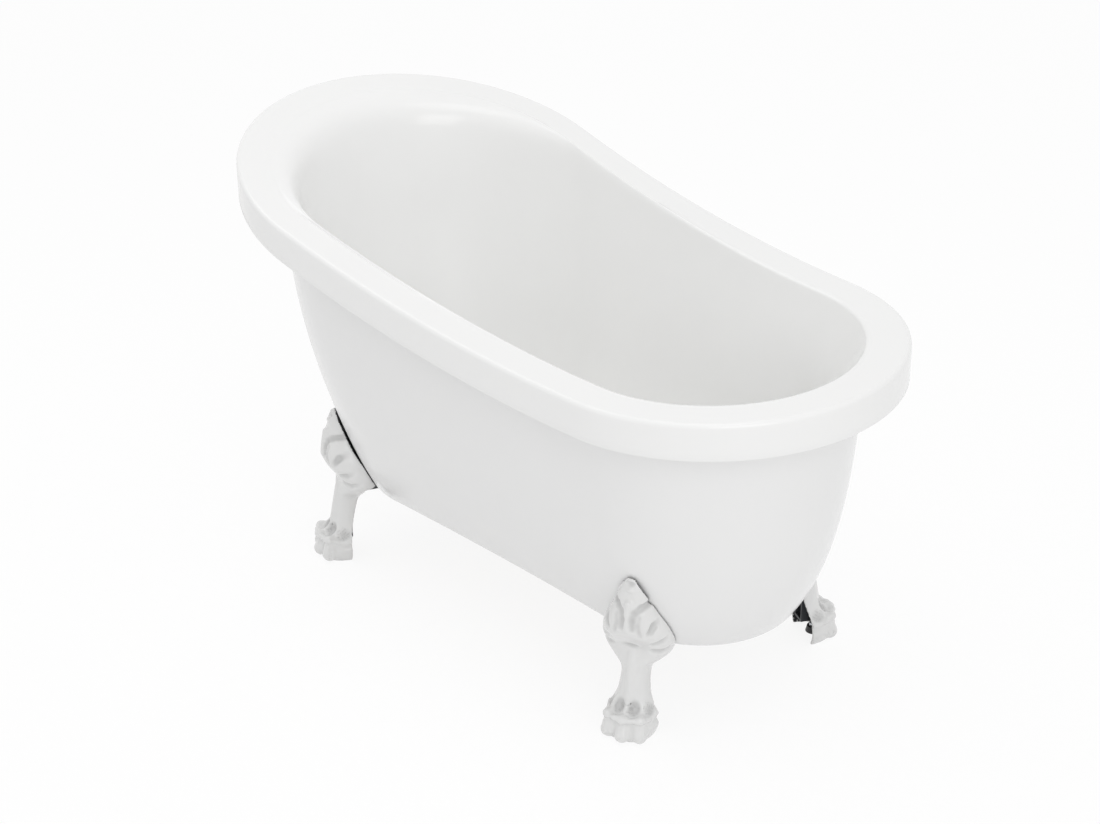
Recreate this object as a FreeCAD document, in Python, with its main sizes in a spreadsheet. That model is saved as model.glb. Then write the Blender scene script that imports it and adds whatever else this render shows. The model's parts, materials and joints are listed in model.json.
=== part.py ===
import FreeCAD, Part
import math
import os
import Sketcher
from FreeCAD import Placement, Rotation, Vector

# Slipper bath on four claw feet. Millimetres, +Z up, origin on the floor under the middle of
# the rim. +X is the low end with the waste, -X is the high slipper end, +Y is the bather's left.

DIMENSIONS = [
    # rim seen from above: two end circles joined by tangents
    ("tub_length", 1500.0, "over the rim"),
    ("head_width", 766.0, "diameter of the rim's slipper end"),
    ("low_width", 700.0, "diameter of the rim's low end"),
    # crest line of the rim seen from the side
    ("head_height", 868.0, "rim at the slipper end"),
    ("low_height", 726.0, "rim at the low end"),
    ("head_fall", 205.0, "fall of the slipper end, mm per metre"),
    ("low_rise", 45.0, "rise of the low end, mm per metre"),
    ("dip_radius", 3260.0, "arc that joins the two slopes"),
    # moulded shells
    ("liner_wall", 6.0, "acrylic and glass fibre of the inner shell"),
    ("fascia_height", 70.0, "turned-down edge of the rim"),
    ("skirt_wall", 5.0, "outer shell"),
    ("soffit_wall", 4.0, "flange of the outer shell under the rim"),
    ("soffit_lift", 2.0, "soffit above the lower edge of the fascia"),
    ("bond_gap", 0.5, "adhesive gap between the soffit and the fascia"),
    ("hem_wall", 5.0, "turned-in lower edge of the outer shell"),
    ("hem_width", 26.0, "how far the hem turns in"),
    ("hem_height", 187.0, "hem above the floor at the top of its arch"),
    ("hem_crest_x", 60.0, "where the arch is highest"),
    ("hem_radius", 6000.0, "radius of the arch"),
    ("floor_height", 212.0, "inside of the bath's floor"),
    ("floor_wall", 8.0, "reinforced floor of the inner shell"),
    ("roll_height", 68.0, "how far the backrest starts to roll out below the head's crest"),
    ("clear_above", 12.0, "how far cutting shapes pass the crest"),
    ("drill_reach", 18.0, "how far a drill passes the face of a wall"),
    # underframe
    ("rail_size", 25.0, "square tube"),
    ("rail_wall", 2.0, "wall of the square tube"),
    ("rail_offset", 120.0, "rail centre from the middle plane"),
    ("rail_head_x", -384.0, "head end of the rails"),
    ("rail_low_x", 430.0, "low end of the rails"),
    ("crossbar_head_x", -290.0, "centre of the head crossbar"),
    ("crossbar_low_x", 325.0, "centre of the low crossbar"),
    ("board_thickness", 15.0, "plywood under the floor"),
    ("board_head_x", -335.0, "head end of the board"),
    ("board_low_x", 345.0, "low end of the board"),
    ("board_width", 340.0, "across the board"),
    ("board_corner", 70.0, "corner radius of the board"),
    ("screw_span", 250.0, "board screws from the middle of the board"),
    ("screw_diameter", 5.0, "board screw"),
    ("screw_head", 10.0, "diameter of the board screw's head"),
    ("screw_head_height", 3.0, "height of the board screw's head"),
    ("screw_bite", 11.0, "how far a board screw enters the board"),
    ("hole_clearance", 0.2, "added to the diameter of every fixing hole"),
    # claw feet
    ("foot_head_x", -423.0, "middle of a head foot's paw"),
    ("foot_low_x", 456.0, "middle of a low foot's paw"),
    ("foot_offset", 260.0, "middle of every paw from the middle plane"),
    ("foot_splay", 67.0, "toes turned out from the long axis, degrees"),
    ("foot_height", 330.0, "floor to the top of the knee"),
    ("paw_width", 104.0, "across the paw"),
    ("paw_length", 70.0, "heel to toes"),
    ("shank_width", 56.0, "across the shank"),
    ("knee_width", 136.0, "across the leaves of the knee"),
    ("foot_gap", 1.0, "between a foot and the outer shell"),
    ("heel_depth", -35.0, "back edge of the heel, from the middle of the paw"),
    ("heel_height", 48.0, "how high the back edge stays upright"),
    ("nape_depth", -64.0, "back edge of the shank under the bath"),
    ("nape_height", 164.0, "height there"),
    ("foot_wall", 5.0, "wall of the hollow casting"),
    ("cavity_front", 8.0, "front of the cavity, from the middle of the paw"),
    ("cavity_top", 167.0, "how high the cavity reaches"),
    ("land_depth", -29.0, "face of the foot's boss, from the middle of the paw"),
    ("boss_base", 84.0, "underside of the foot's boss"),
    ("boss_top", 138.0, "top of the foot's boss"),
    # steel legs behind the claw feet
    ("leg_width", 30.0, "across the channel"),
    ("leg_depth", 16.0, "depth of the channel"),
    ("leg_wall", 3.0, "wall of the channel"),
    ("leg_base", 38.0, "underside of the leveller lug"),
    ("lug_thickness", 5.0, "leveller lug"),
    ("lug_width", 26.0, "across the leveller lug"),
    ("lug_front", 12.0, "leveller lug in front of the stud"),
    ("arm_reach", 124.0, "arm from the back of the leg to its inner end"),
    ("arm_drop", 23.0, "depth of the arm"),
    ("foot_bolt", 8.0, "bolts that hold a claw foot to its leg"),
    ("foot_bolt_low", 98.0, "lower foot bolt above the floor"),
    ("foot_bolt_high", 124.0, "upper foot bolt above the floor"),
    ("foot_bolt_bite", 10.0, "how far a foot bolt enters the foot"),
    ("rail_bolt", 8.0, "bolts that hold the arms to the rails"),
    ("rail_bolt_length", 12.0, "under the head"),
    ("hex_head", 13.0, "across the flats of the bolt heads"),
    ("hex_height", 5.3, "height of the bolt heads"),
    ("washer_size", 16.0, "outer diameter of the washers"),
    ("washer_thickness", 1.6, "washers"),
    # levellers
    ("stud_size", 10.0, "diameter of the levelling stud"),
    ("stud_offset", -11.0, "stud from the middle of the paw"),
    ("stud_clearance", 0.06, "radial clearance of the stud in its nut"),
    ("stud_length", 56.0, "levelling stud"),
    ("nut_size", 17.0, "across the flats of the welded nut"),
    ("nut_height", 8.0, "welded nut"),
    ("pad_size", 30.0, "diameter of the levelling pad"),
    ("pad_top_size", 24.0, "diameter of the levelling pad's top"),
    ("pad_height", 12.0, "levelling pad"),
    ("pad_rest", 3.0, "pad above the floor when the bath stands on its claw feet"),
    ("pad_socket", 6.0, "depth of the pad's socket"),
    ("grip_size", 15.0, "across the flats of the stud's spanner hexagon"),
    ("grip_height", 6.0, "spanner hexagon of the stud"),
    ("grip_gap", 1.0, "between the pad and the spanner hexagon"),
    # waste
    ("waste_x", 400.0, "centre of the waste"),
    ("flange_size", 70.0, "diameter of the waste flange"),
    ("flange_height", 3.0, "waste flange above its seal"),
    ("throat_outer", 48.0, "threaded barrel of the flange"),
    ("throat_bore", 42.0, "bore of the flange"),
    ("throat_depth", 24.0, "barrel below the flange"),
    ("seal_thickness", 2.0, "rubber seals of the waste"),
    ("waste_hole", 52.0, "hole in the floor for the waste"),
    ("trap_size", 60.0, "diameter of the waste body"),
    ("trap_flange", 72.0, "top flange of the waste body"),
    ("trap_height", 46.0, "waste body below the floor"),
    ("trap_wall", 3.5, "wall of the waste body"),
    ("outlet_size", 40.0, "outside of the outlet pipe"),
    ("outlet_wall", 2.0, "wall of the outlet pipe"),
    ("outlet_end", 84.0, "open end of the outlet pipe above the floor"),
    ("bead_size", 45.0, "diameter of the outlet pipe's stop bead, under the nut"),
    ("bead_height", 4.0, "stop bead of the outlet pipe"),
    ("outlet_nut", 54.0, "compression nut on the outlet"),
    ("outlet_nut_height", 20.0, "compression nut on the outlet"),
    ("port_height", 178.0, "centre of the overflow port above the floor"),
    ("hose_size", 26.0, "outside of the overflow pipe"),
    ("hose_wall", 2.0, "wall of the overflow pipe"),
    ("port_reach", 44.0, "end of the overflow port from the waste centre"),
    ("bush_size", 18.0, "outside of the plug cartridge"),
    ("bush_height", 34.0, "plug cartridge"),
    ("spider_width", 4.0, "arms that carry the plug cartridge"),
    ("spider_bite", 1.0, "how far the arms enter the wall of the waste body"),
    ("stem_size", 10.0, "stem of the plug"),
    ("stem_clearance", 0.06, "radial clearance of the stem"),
    ("stem_length", 52.0, "stem below the cap"),
    ("cap_size", 63.0, "diameter of the plug cap"),
    ("cap_height", 7.0, "plug cap"),
    ("plug_lift", 9.0, "travel of the plug"),
    ("plug_gap", 0.3, "seal above its seat when the plug is down"),
    ("ring_height", 2.5, "seal under the plug cap"),
    ("ring_size", 50.0, "outer diameter of the seal under the plug cap"),
    # overflow
    ("overflow_height", 590.0, "centre of the overflow above the floor"),
    ("overflow_inset", 143.5, "wall at the overflow, inside the low end of the rim"),
    ("overflow_tilt", 18.0, "slope of the wall there, degrees"),
    ("overflow_hole", 46.0, "hole in the wall"),
    ("cover_size", 66.0, "overflow cover"),
    ("cover_stand", 11.0, "cover proud of the wall"),
    ("cover_wall", 2.0, "wall of the cover"),
    ("cover_slot", 5.0, "height of the overflow openings"),
    ("gasket_back", 9.0, "back of the gasket behind the wall's inner face"),
    ("elbow_size", 60.0, "overflow body behind the wall"),
    ("elbow_depth", 24.0, "overflow body behind the wall"),
    ("cover_screw", 6.0, "screw through the cover"),
    ("cover_screw_head", 13.0, "diameter of its head"),
    ("cover_screw_bite", 11.0, "how far it enters the overflow body"),
    ("boss_size", 12.0, "boss of the overflow body that takes the screw"),
    ("hose_bite", 11.0, "how far the overflow pipe enters its port"),
    ("hose_top", 30.0, "upper end of the overflow pipe below the overflow"),
    ("hose_top_inset", 124.0, "upright end of the overflow pipe, inside the low end of the rim"),
    ("hose_middle_inset", 156.0, "the same at its middle bend"),
    ("hose_turn_inset", 212.0, "the same where it turns towards the waste"),
    ("hose_upper_height", 460.0, "upper bend above the floor"),
    ("hose_middle_height", 330.0, "middle bend above the floor"),
    ("hose_bend", 60.0, "radius of the low bend"),
    ("hose_sweep", 220.0, "radius of the slight bends"),
    ("spigot_rise", 22.0, "top of the overflow spigot below the overflow"),
    ("spigot_drop", 45.0, "end of the overflow spigot below the overflow"),
    ("spigot_wall", 2.5, "wall of the overflow spigot and of the port"),
]

# Outer shell, section by section: height as a share of the rim's low height, then how far the
# section lies inside the rim at the head end, the low end, the head's side and the low side.
SKIRT_SECTIONS = [
    (0.193, 297.0, 202.0, 183.0, 155.0),
    (0.275, 266.0, 164.0, 152.0, 138.0),
    (0.413, 224.0, 124.0, 113.0, 112.0),
    (0.620, 174.0, 97.0, 70.0, 80.0),
    (0.854, 137.0, 86.0, 42.0, 56.0),
    (None, 121.0, 78.0, 31.0, 32.0),
]

# Inside of the bath, the same way, with the height as a share of the depth under the rim's low
# end. The last two sections hang from the head's crest, where the backrest rolls out.
BASIN_SECTIONS = [
    (0.000, 430.0, 280.0, 263.0, 240.0),
    (0.027, 385.0, 245.0, 218.0, 200.0),
    (0.093, 338.0, 212.0, 178.0, 165.0),
    (0.249, 288.0, 184.0, 143.0, 135.0),
    (0.482, 238.0, 160.0, 115.0, 112.0),
    (0.755, 194.0, 140.0, 93.0, 93.0),
    (0.949, 170.0, 90.0, 80.0, 76.0),
    (None, 144.0, 45.0, 72.0, 66.0),
    (None, 58.0, 20.0, 65.0, 60.0),
]

# Leg of a claw foot, section by section: share of the height, middle measured towards the toes
# from the middle of the paw, depth, the named width and its share, and how far the toes swell.
# Up to the nape the middle lies on the back edge, so that the leg is the front half of the loft.
# The depths of the paw are those of the pattern and follow the named length.
CLAW_SECTIONS = [
    (0.000, -35.0, 124.0, "paw_width", 0.84, 0.04),
    (0.042, -35.0, 136.0, "paw_width", 0.94, 0.06),
    (0.095, -35.0, 140.0, "paw_width", 1.00, 0.06),
    (0.142, -35.0, 130.0, "paw_width", 0.96, 0.03),
    (0.191, -39.0, 96.0, "paw_width", 0.80, 0.0),
    (0.244, -43.0, 78.0, "shank_width", 1.18, 0.0),
    (0.308, -48.0, 76.0, "shank_width", 1.02, 0.0),
    (0.390, -56.0, 80.0, "shank_width", 0.98, 0.0),
    (0.455, -60.0, 80.0, "shank_width", 1.10, 0.0),
    (0.500, -62.0, 80.0, "knee_width", 0.70, 0.0),
    (0.545, -61.0, 78.0, "knee_width", 0.91, 0.0),
    (0.594, -59.0, 92.0, "knee_width", 1.00, 0.0),
    (0.655, -56.0, 114.0, "knee_width", 0.97, 0.0),
    (0.715, -52.0, 116.0, "knee_width", 0.85, 0.0),
    (0.776, -50.0, 108.0, "knee_width", 0.69, 0.0),
    (0.836, -47.0, 90.0, "knee_width", 0.56, 0.0),
    (0.909, -42.0, 66.0, "knee_width", 0.43, 0.0),
    (0.964, -38.0, 52.0, "knee_width", 0.29, 0.0),
    (1.000, -34.0, 36.0, "knee_width", 0.15, 0.0),
]
CAVITY_SECTIONS = 11
CLAW_POINTS = 64
CLAW_ROUNDNESS = 0.85
TOE_SPACING = 33.5
PATTERN_PAW = 70.0
SECTION_LETTERS = "abcdefghi"

SIDES = [("right", -1.0), ("left", 1.0)]
ENDS = ["head", "low"]


class Size:
    """A length with the expression that gives it, so that one formula serves both."""

    def __init__(self, value, text):
        self.value = value
        self.text = text

    def _join(self, other, sign, value):
        text = other.text if isinstance(other, Size) else repr(float(other))
        return Size(value, "(%s %s %s)" % (self.text, sign, text))

    def __add__(self, other):
        return self._join(other, "+", self.value + number(other))

    def __sub__(self, other):
        return self._join(other, "-", self.value - number(other))

    def __mul__(self, other):
        return self._join(other, "*", self.value * number(other))

    def __truediv__(self, other):
        return self._join(other, "/", self.value / number(other))

    def __neg__(self):
        return Size(-self.value, "(-1 * %s)" % self.text)


def number(value):
    return value.value if isinstance(value, Size) else float(value)


def sine(angle):
    return Size(math.sin(math.radians(angle.value)), "sin(%s)" % angle.text)


def cosine(angle):
    return Size(math.cos(math.radians(angle.value)), "cos(%s)" % angle.text)


def slope_angle(slope):
    return Size(math.degrees(math.atan(slope.value)), "atan(%s)" % slope.text)


ZERO = Size(0.0, "0")

doc = FreeCAD.newDocument("ClawfootBath")
sheet = doc.addObject("Spreadsheet::Sheet", "Sizes")


def fill_sheet():
    """Every driving dimension and every section has its own named cell."""
    rows = list(DIMENSIONS)
    columns = ("share", "head_inset", "low_inset", "head_side", "low_side")
    for family, table in (("skirt", SKIRT_SECTIONS), ("basin", BASIN_SECTIONS)):
        for letter, section in zip(SECTION_LETTERS, table):
            for column, value in zip(columns, section):
                if value is not None:
                    rows.append(("%s_%s_%s" % (family, column, letter), value, "section"))
    sizes = {}
    for row, (alias, value, note) in enumerate(rows, start=1):
        sheet.set("A%d" % row, alias)
        sheet.set("B%d" % row, str(value))
        sheet.setAlias("B%d" % row, alias)
        sheet.set("C%d" % row, note)
        sizes[alias] = Size(value, "Sizes." + alias)
    doc.recompute()
    return sizes


S = fill_sheet()
parts = {}


def bind(thing, path, size):
    thing.setExpression(path, size.text)


def keep(node, thing):
    """Name a finished piece after its node."""
    thing.Label = node
    parts[node] = thing
    return thing


def place(thing, x=None, y=None, z=None):
    for axis, size in (("x", x), ("y", y), ("z", z)):
        if size is not None:
            bind(thing, "Placement.Base." + axis, size)
    return thing


# ---------------------------------------------------------------- primitives and booleans

def box(name, x0, x1, y0, y1, z0, z1):
    thing = doc.addObject("Part::Box", name)
    bind(thing, "Length", x1 - x0)
    bind(thing, "Width", y1 - y0)
    bind(thing, "Height", z1 - z0)
    return place(thing, x0, y0, z0)


def slab(name, x0, x1, width, z0, z1):
    """Box centred on the X axis."""
    return box(name, x0, x1, -width / 2, width / 2, z0, z1)


def rod(name, diameter, x, y, z0, z1):
    thing = doc.addObject("Part::Cylinder", name)
    bind(thing, "Radius", diameter / 2)
    bind(thing, "Height", z1 - z0)
    return place(thing, x, y, z0)


def rod_along_x(name, diameter, x0, x1, y, z):
    thing = doc.addObject("Part::Cylinder", name)
    thing.Placement = Placement(Vector(), Rotation(Vector(0, 1, 0), 90))
    bind(thing, "Radius", diameter / 2)
    bind(thing, "Height", x1 - x0)
    return place(thing, x0, y, z)


def cone(name, low_diameter, top_diameter, x, y, z0, z1):
    thing = doc.addObject("Part::Cone", name)
    bind(thing, "Radius1", low_diameter / 2)
    bind(thing, "Radius2", top_diameter / 2)
    bind(thing, "Height", z1 - z0)
    return place(thing, x, y, z0)


def hexagon(name, across, x, y, z0, z1):
    thing = doc.addObject("Part::Prism", name)
    thing.Polygon = 6
    bind(thing, "Circumradius", across / math.sqrt(3.0))
    bind(thing, "Height", z1 - z0)
    return place(thing, x, y, z0)


def hexagon_along_x(name, across, x0, x1, y, z):
    thing = doc.addObject("Part::Prism", name)
    thing.Polygon = 6
    thing.Placement = Placement(Vector(), Rotation(Vector(0, 1, 0), 90))
    bind(thing, "Circumradius", across / math.sqrt(3.0))
    bind(thing, "Height", x1 - x0)
    return place(thing, x0, y, z)


def cut(name, base, *tools, refine=True):
    for index, tool in enumerate(tools):
        result = doc.addObject("Part::Cut", "%s_%d" % (name, index))
        result.Base = base
        result.Tool = tool
        result.Refine = refine
        base = result
    return base


def common(name, first, second):
    result = doc.addObject("Part::Common", name)
    result.Base = first
    result.Tool = second
    return result


def fuse(name, *shapes):
    result = doc.addObject("Part::MultiFuse", name)
    result.Shapes = list(shapes)
    result.Refine = True
    return result


def group(name, shapes):
    result = doc.addObject("Part::Compound", name)
    result.Links = list(shapes)
    return result


# ------------------------------------------------------------------------------ sketches

def datum(sketch, kind, size, *where):
    """A dimension of the sketch that follows the sheet."""
    value = math.radians(size.value) if kind == "Angle" else size.value
    index = sketch.addConstraint(Sketcher.Constraint(kind, *where, value))
    sketch.setExpression("Constraints[%d]" % index, size.text)


def hull_sketch(name, height, head_x, low_x, head_radius, low_radius):
    """Two end circles centred on the X axis and their two outer tangents."""
    sketch = doc.addObject("Sketcher::SketchObject", name)
    place(sketch, z=height)
    head_centre = head_x + head_radius
    low_centre = low_x - low_radius
    r1, r2 = head_radius.value, low_radius.value
    c1, c2 = head_centre.value, low_centre.value
    touch = math.acos((r1 - r2) / (c2 - c1))
    normal = Vector(0, 0, 1)
    head_circle = Part.Circle(Vector(c1, 0), normal, r1)
    low_circle = Part.Circle(Vector(c2, 0), normal, r2)
    upper_head = Vector(c1 + r1 * math.cos(touch), r1 * math.sin(touch))
    upper_low = Vector(c2 + r2 * math.cos(touch), r2 * math.sin(touch))
    lower_head = Vector(upper_head.x, -upper_head.y)
    lower_low = Vector(upper_low.x, -upper_low.y)
    sketch.addGeometry(Part.ArcOfCircle(head_circle, touch, 2 * math.pi - touch))
    sketch.addGeometry(Part.LineSegment(lower_head, lower_low))
    sketch.addGeometry(Part.ArcOfCircle(low_circle, -touch, touch))
    sketch.addGeometry(Part.LineSegment(upper_low, upper_head))
    for edge in range(4):
        sketch.addConstraint(Sketcher.Constraint("Tangent", edge, 2, (edge + 1) % 4, 1))
    sketch.addConstraint(Sketcher.Constraint("PointOnObject", 0, 3, -1))
    sketch.addConstraint(Sketcher.Constraint("PointOnObject", 2, 3, -1))
    datum(sketch, "Radius", head_radius, 0)
    datum(sketch, "Radius", low_radius, 2)
    datum(sketch, "DistanceX", head_centre, -1, 1, 0, 3)
    datum(sketch, "DistanceX", low_centre, -1, 1, 2, 3)
    return sketch


def extrude(name, sketch, direction, length, symmetric=False):
    thing = doc.addObject("Part::Extrusion", name)
    thing.Base = sketch
    thing.DirMode = "Custom"
    thing.Dir = direction
    thing.Symmetric = symmetric
    thing.Solid = True
    bind(thing, "LengthFwd", length)
    return thing


def family_loft(name, family, heights, outward):
    """Loft through one family of sections, grown outward by a wall."""
    sketches = []
    for letter, height in zip(SECTION_LETTERS, heights):
        sketches.append(hull_sketch(
            "%s_section_%s" % (name, letter),
            height,
            S["%s_head_inset_%s" % (family, letter)] - S["tub_length"] / 2 - outward,
            S["tub_length"] / 2 - S["%s_low_inset_%s" % (family, letter)] + outward,
            S["head_width"] / 2 - S["%s_head_side_%s" % (family, letter)] + outward,
            S["low_width"] / 2 - S["%s_low_side_%s" % (family, letter)] + outward,
        ))
    thing = doc.addObject("Part::Loft", name)
    thing.Sections = sketches
    thing.Solid = True
    thing.Ruled = False
    return thing


def skirt_loft(name, outward):
    heights = [S["low_height"] * S["skirt_share_%s" % letter] for letter in "abcde"]
    heights.append(S["head_height"] - S["fascia_height"] + S["clear_above"])
    return family_loft(name, "skirt", heights, outward)


def basin_loft(name, outward, lowered):
    depth = S["low_height"] - S["floor_height"]
    heights = [S["floor_height"] + depth * S["basin_share_%s" % letter] for letter in "abcdefg"]
    heights[0] = heights[0] - lowered
    heights.append(S["head_height"] - S["roll_height"])
    heights.append(S["head_height"] + S["clear_above"])
    return family_loft(name, "basin", heights, outward)


def rim_prism(name, inset):
    """Outline of the rim, drawn in by an inset, as an upright prism."""
    half = S["tub_length"] / 2
    sketch = hull_sketch(
        name + "_outline",
        ZERO,
        inset - half,
        half - inset,
        S["head_width"] / 2 - inset,
        S["low_width"] / 2 - inset,
    )
    return extrude(name, sketch, Vector(0, 0, 1), S["head_height"] + S["clear_above"])


def below_rim(name, drop):
    """Everything under the crest line of the rim, lowered by a drop."""
    sketch = doc.addObject("Sketcher::SketchObject", name + "_profile")
    sketch.Placement = Placement(Vector(), Rotation(Vector(1, 0, 0), 90))
    half = S["tub_length"] / 2 + S["clear_above"]
    head_slope = S["head_fall"] / 1000
    low_slope = S["low_rise"] / 1000
    head_z = S["head_height"] + S["clear_above"] * head_slope - drop
    low_z = S["low_height"] + S["clear_above"] * low_slope - drop
    radius = S["dip_radius"].value
    fall, rise = math.atan(head_slope.value), math.atan(low_slope.value)
    # the corner where the two slopes would meet places the arc for the solver
    run = half.value * 2
    gap = head_z.value - low_z.value
    corner_x = (gap + run * low_slope.value) / (head_slope.value + low_slope.value) - half.value
    corner_z = head_z.value - head_slope.value * (corner_x + half.value)
    reach = radius * math.tan((fall + rise) / 2)
    first = Vector(corner_x - reach * math.cos(fall), corner_z + reach * math.sin(fall))
    last = Vector(corner_x + reach * math.cos(rise), corner_z + reach * math.sin(rise))
    centre = first + Vector(math.sin(fall), math.cos(fall)) * radius
    dip = Part.Circle(centre, Vector(0, 0, 1), radius)
    corners = [
        Vector(half.value, low_z.value),
        Vector(half.value, 0),
        Vector(-half.value, 0),
        Vector(-half.value, head_z.value),
    ]
    sketch.addGeometry(Part.LineSegment(corners[3], first))
    sketch.addGeometry(Part.ArcOfCircle(dip, -math.pi / 2 - fall, -math.pi / 2 + rise))
    sketch.addGeometry(Part.LineSegment(last, corners[0]))
    for one, other in zip(corners, corners[1:]):
        sketch.addGeometry(Part.LineSegment(one, other))
    sketch.addConstraint(Sketcher.Constraint("Tangent", 0, 2, 1, 1))
    sketch.addConstraint(Sketcher.Constraint("Tangent", 1, 2, 2, 1))
    for edge in range(2, 6):
        sketch.addConstraint(Sketcher.Constraint("Coincident", edge, 2, (edge + 1) % 6, 1))
    sketch.addConstraint(Sketcher.Constraint("Vertical", 3))
    sketch.addConstraint(Sketcher.Constraint("Vertical", 5))
    sketch.addConstraint(Sketcher.Constraint("PointOnObject", 4, 1, -1))
    sketch.addConstraint(Sketcher.Constraint("PointOnObject", 4, 2, -1))
    datum(sketch, "DistanceX", half, -1, 1, 3, 1)
    datum(sketch, "DistanceX", -half, -1, 1, 5, 2)
    datum(sketch, "DistanceY", low_z, -1, 1, 3, 1)
    datum(sketch, "DistanceY", head_z, -1, 1, 5, 2)
    datum(sketch, "Radius", S["dip_radius"], 1)
    datum(sketch, "Angle", -slope_angle(head_slope), 0)
    datum(sketch, "Angle", slope_angle(low_slope), 2)
    return extrude(name, sketch, Vector(0, 1, 0), S["head_width"] + S["clear_above"] * 2,
                   symmetric=True)


def below_hem(name, lift):
    """Everything under the arch of the hem, raised by a lift."""
    thing = doc.addObject("Part::Cylinder", name)
    thing.Placement = Placement(Vector(), Rotation(Vector(1, 0, 0), 90))
    bind(thing, "Radius", S["hem_radius"])
    bind(thing, "Height", S["head_width"])
    return place(thing, S["hem_crest_x"], S["head_width"] / 2,
                 S["hem_height"] + lift - S["hem_radius"])


# --------------------------------------------------------------------- levels and places

board_top = S["floor_height"] - S["floor_wall"]
board_base = board_top - S["board_thickness"]
rail_base = board_base - S["rail_size"]
bolt_hole = S["rail_bolt"] + S["hole_clearance"]
screw_hole = S["screw_diameter"] + S["hole_clearance"]
# along a foot's own axis, from the middle of its paw, where the rail passes over the arm
rail_crossing = (S["rail_offset"] - S["foot_offset"]) / sine(S["foot_splay"])

FEET = []
for end_name in ENDS:
    for side_name, side_sign in SIDES:
        FEET.append((end_name, side_name, side_sign))


def foot_frame(thing, end_name, side_sign):
    """Move a piece modelled around a foot's own axis to its corner of the bath."""
    if end_name == "low":
        heading = S["foot_splay"] * side_sign
        across = S["foot_low_x"]
    else:
        heading = -S["foot_splay"] * side_sign + 180
        across = S["foot_head_x"]
    thing.Placement = Placement(Vector(), Rotation(Vector(0, 0, 1), 90))
    bind(thing, "Placement.Rotation.Angle", heading)
    return place(thing, across, S["foot_offset"] * side_sign)


def crossing_x(end_name):
    """Where a rail bolt stands along the bath."""
    step = rail_crossing * cosine(S["foot_splay"])
    return S["foot_low_x"] + step if end_name == "low" else S["foot_head_x"] - step


# -------------------------------------------------------------------------------- shells

def bath_shell():
    """Inner shell: basin, flat rim and turned-down fascia, moulded in one sheet."""
    rim = cut("rim_band",
              common("rim_block", rim_prism("rim_outer", ZERO), below_rim("under_crest", ZERO)),
              below_rim("under_fascia", S["fascia_height"]))
    hollow = common("rim_hollow", rim_prism("rim_inner", S["liner_wall"]),
                    below_rim("under_rim", S["liner_wall"]))
    wall = common("basin_wall", basin_outside, below_rim("under_edge", S["liner_wall"] / 2))
    blank = fuse("shell_blank", cut("rim_cap", rim, hollow), wall)
    waste_hole = rod("waste_opening", S["waste_hole"], S["waste_x"], ZERO,
                     board_base, S["floor_height"] + S["drill_reach"])
    overflow_hole = overflow_frame("overflow_opening", overflow_rod(
        "overflow_drill", S["overflow_hole"], -S["drill_reach"], S["drill_reach"]))
    return keep("bath_shell", cut("shell", blank, basin_inside, waste_hole, overflow_hole))


def outer_skirt():
    """Outer shell: wall, soffit glued inside the fascia, and turned-in hem."""
    soffit_base = S["fascia_height"] - S["soffit_lift"]
    under_soffit_top = below_rim("under_soffit_top", soffit_base - S["soffit_wall"])
    inside = skirt_loft("skirt_inside", -S["skirt_wall"])
    wall = cut("skirt_wall_trimmed",
               common("skirt_wall_blank", skirt_outside, under_soffit_top),
               inside, below_hem("skirt_hem", ZERO))
    soffit = cut("soffit",
                 common("soffit_blank", rim_prism("soffit_outline", S["liner_wall"] + S["bond_gap"]),
                        under_soffit_top),
                 below_rim("under_soffit", soffit_base), inside)
    lip = cut("hem_lip",
              common("hem_blank", skirt_outside, below_hem("hem_top", S["hem_wall"])),
              below_hem("hem_base", ZERO), skirt_loft("hem_inside", -S["hem_width"]))
    return keep("outer_skirt", fuse("skirt", wall, soffit, lip))


# ---------------------------------------------------------------------------- underframe

def square_tube(name, x0, x1, y, lengthwise=True):
    """Square tube lying under the board, along the bath or across it."""
    half = S["rail_size"] / 2
    bore = half - S["rail_wall"]
    if lengthwise:
        outside = box(name + "_outside", x0, x1, y - half, y + half, rail_base, board_base)
        inside = box(name + "_bore", x0, x1, y - bore, y + bore,
                     rail_base + S["rail_wall"], board_base - S["rail_wall"])
    else:
        reach = S["rail_offset"] - half
        outside = box(name + "_outside", x0 - half, x0 + half, -reach, reach, rail_base, board_base)
        inside = box(name + "_bore", x0 - bore, x0 + bore, -reach, reach,
                     rail_base + S["rail_wall"], board_base - S["rail_wall"])
    return cut(name + "_tube", outside, inside)


def screw_places():
    middle = (S["board_head_x"] + S["board_low_x"]) / 2
    return [middle - S["screw_span"], middle, middle + S["screw_span"]]


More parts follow.
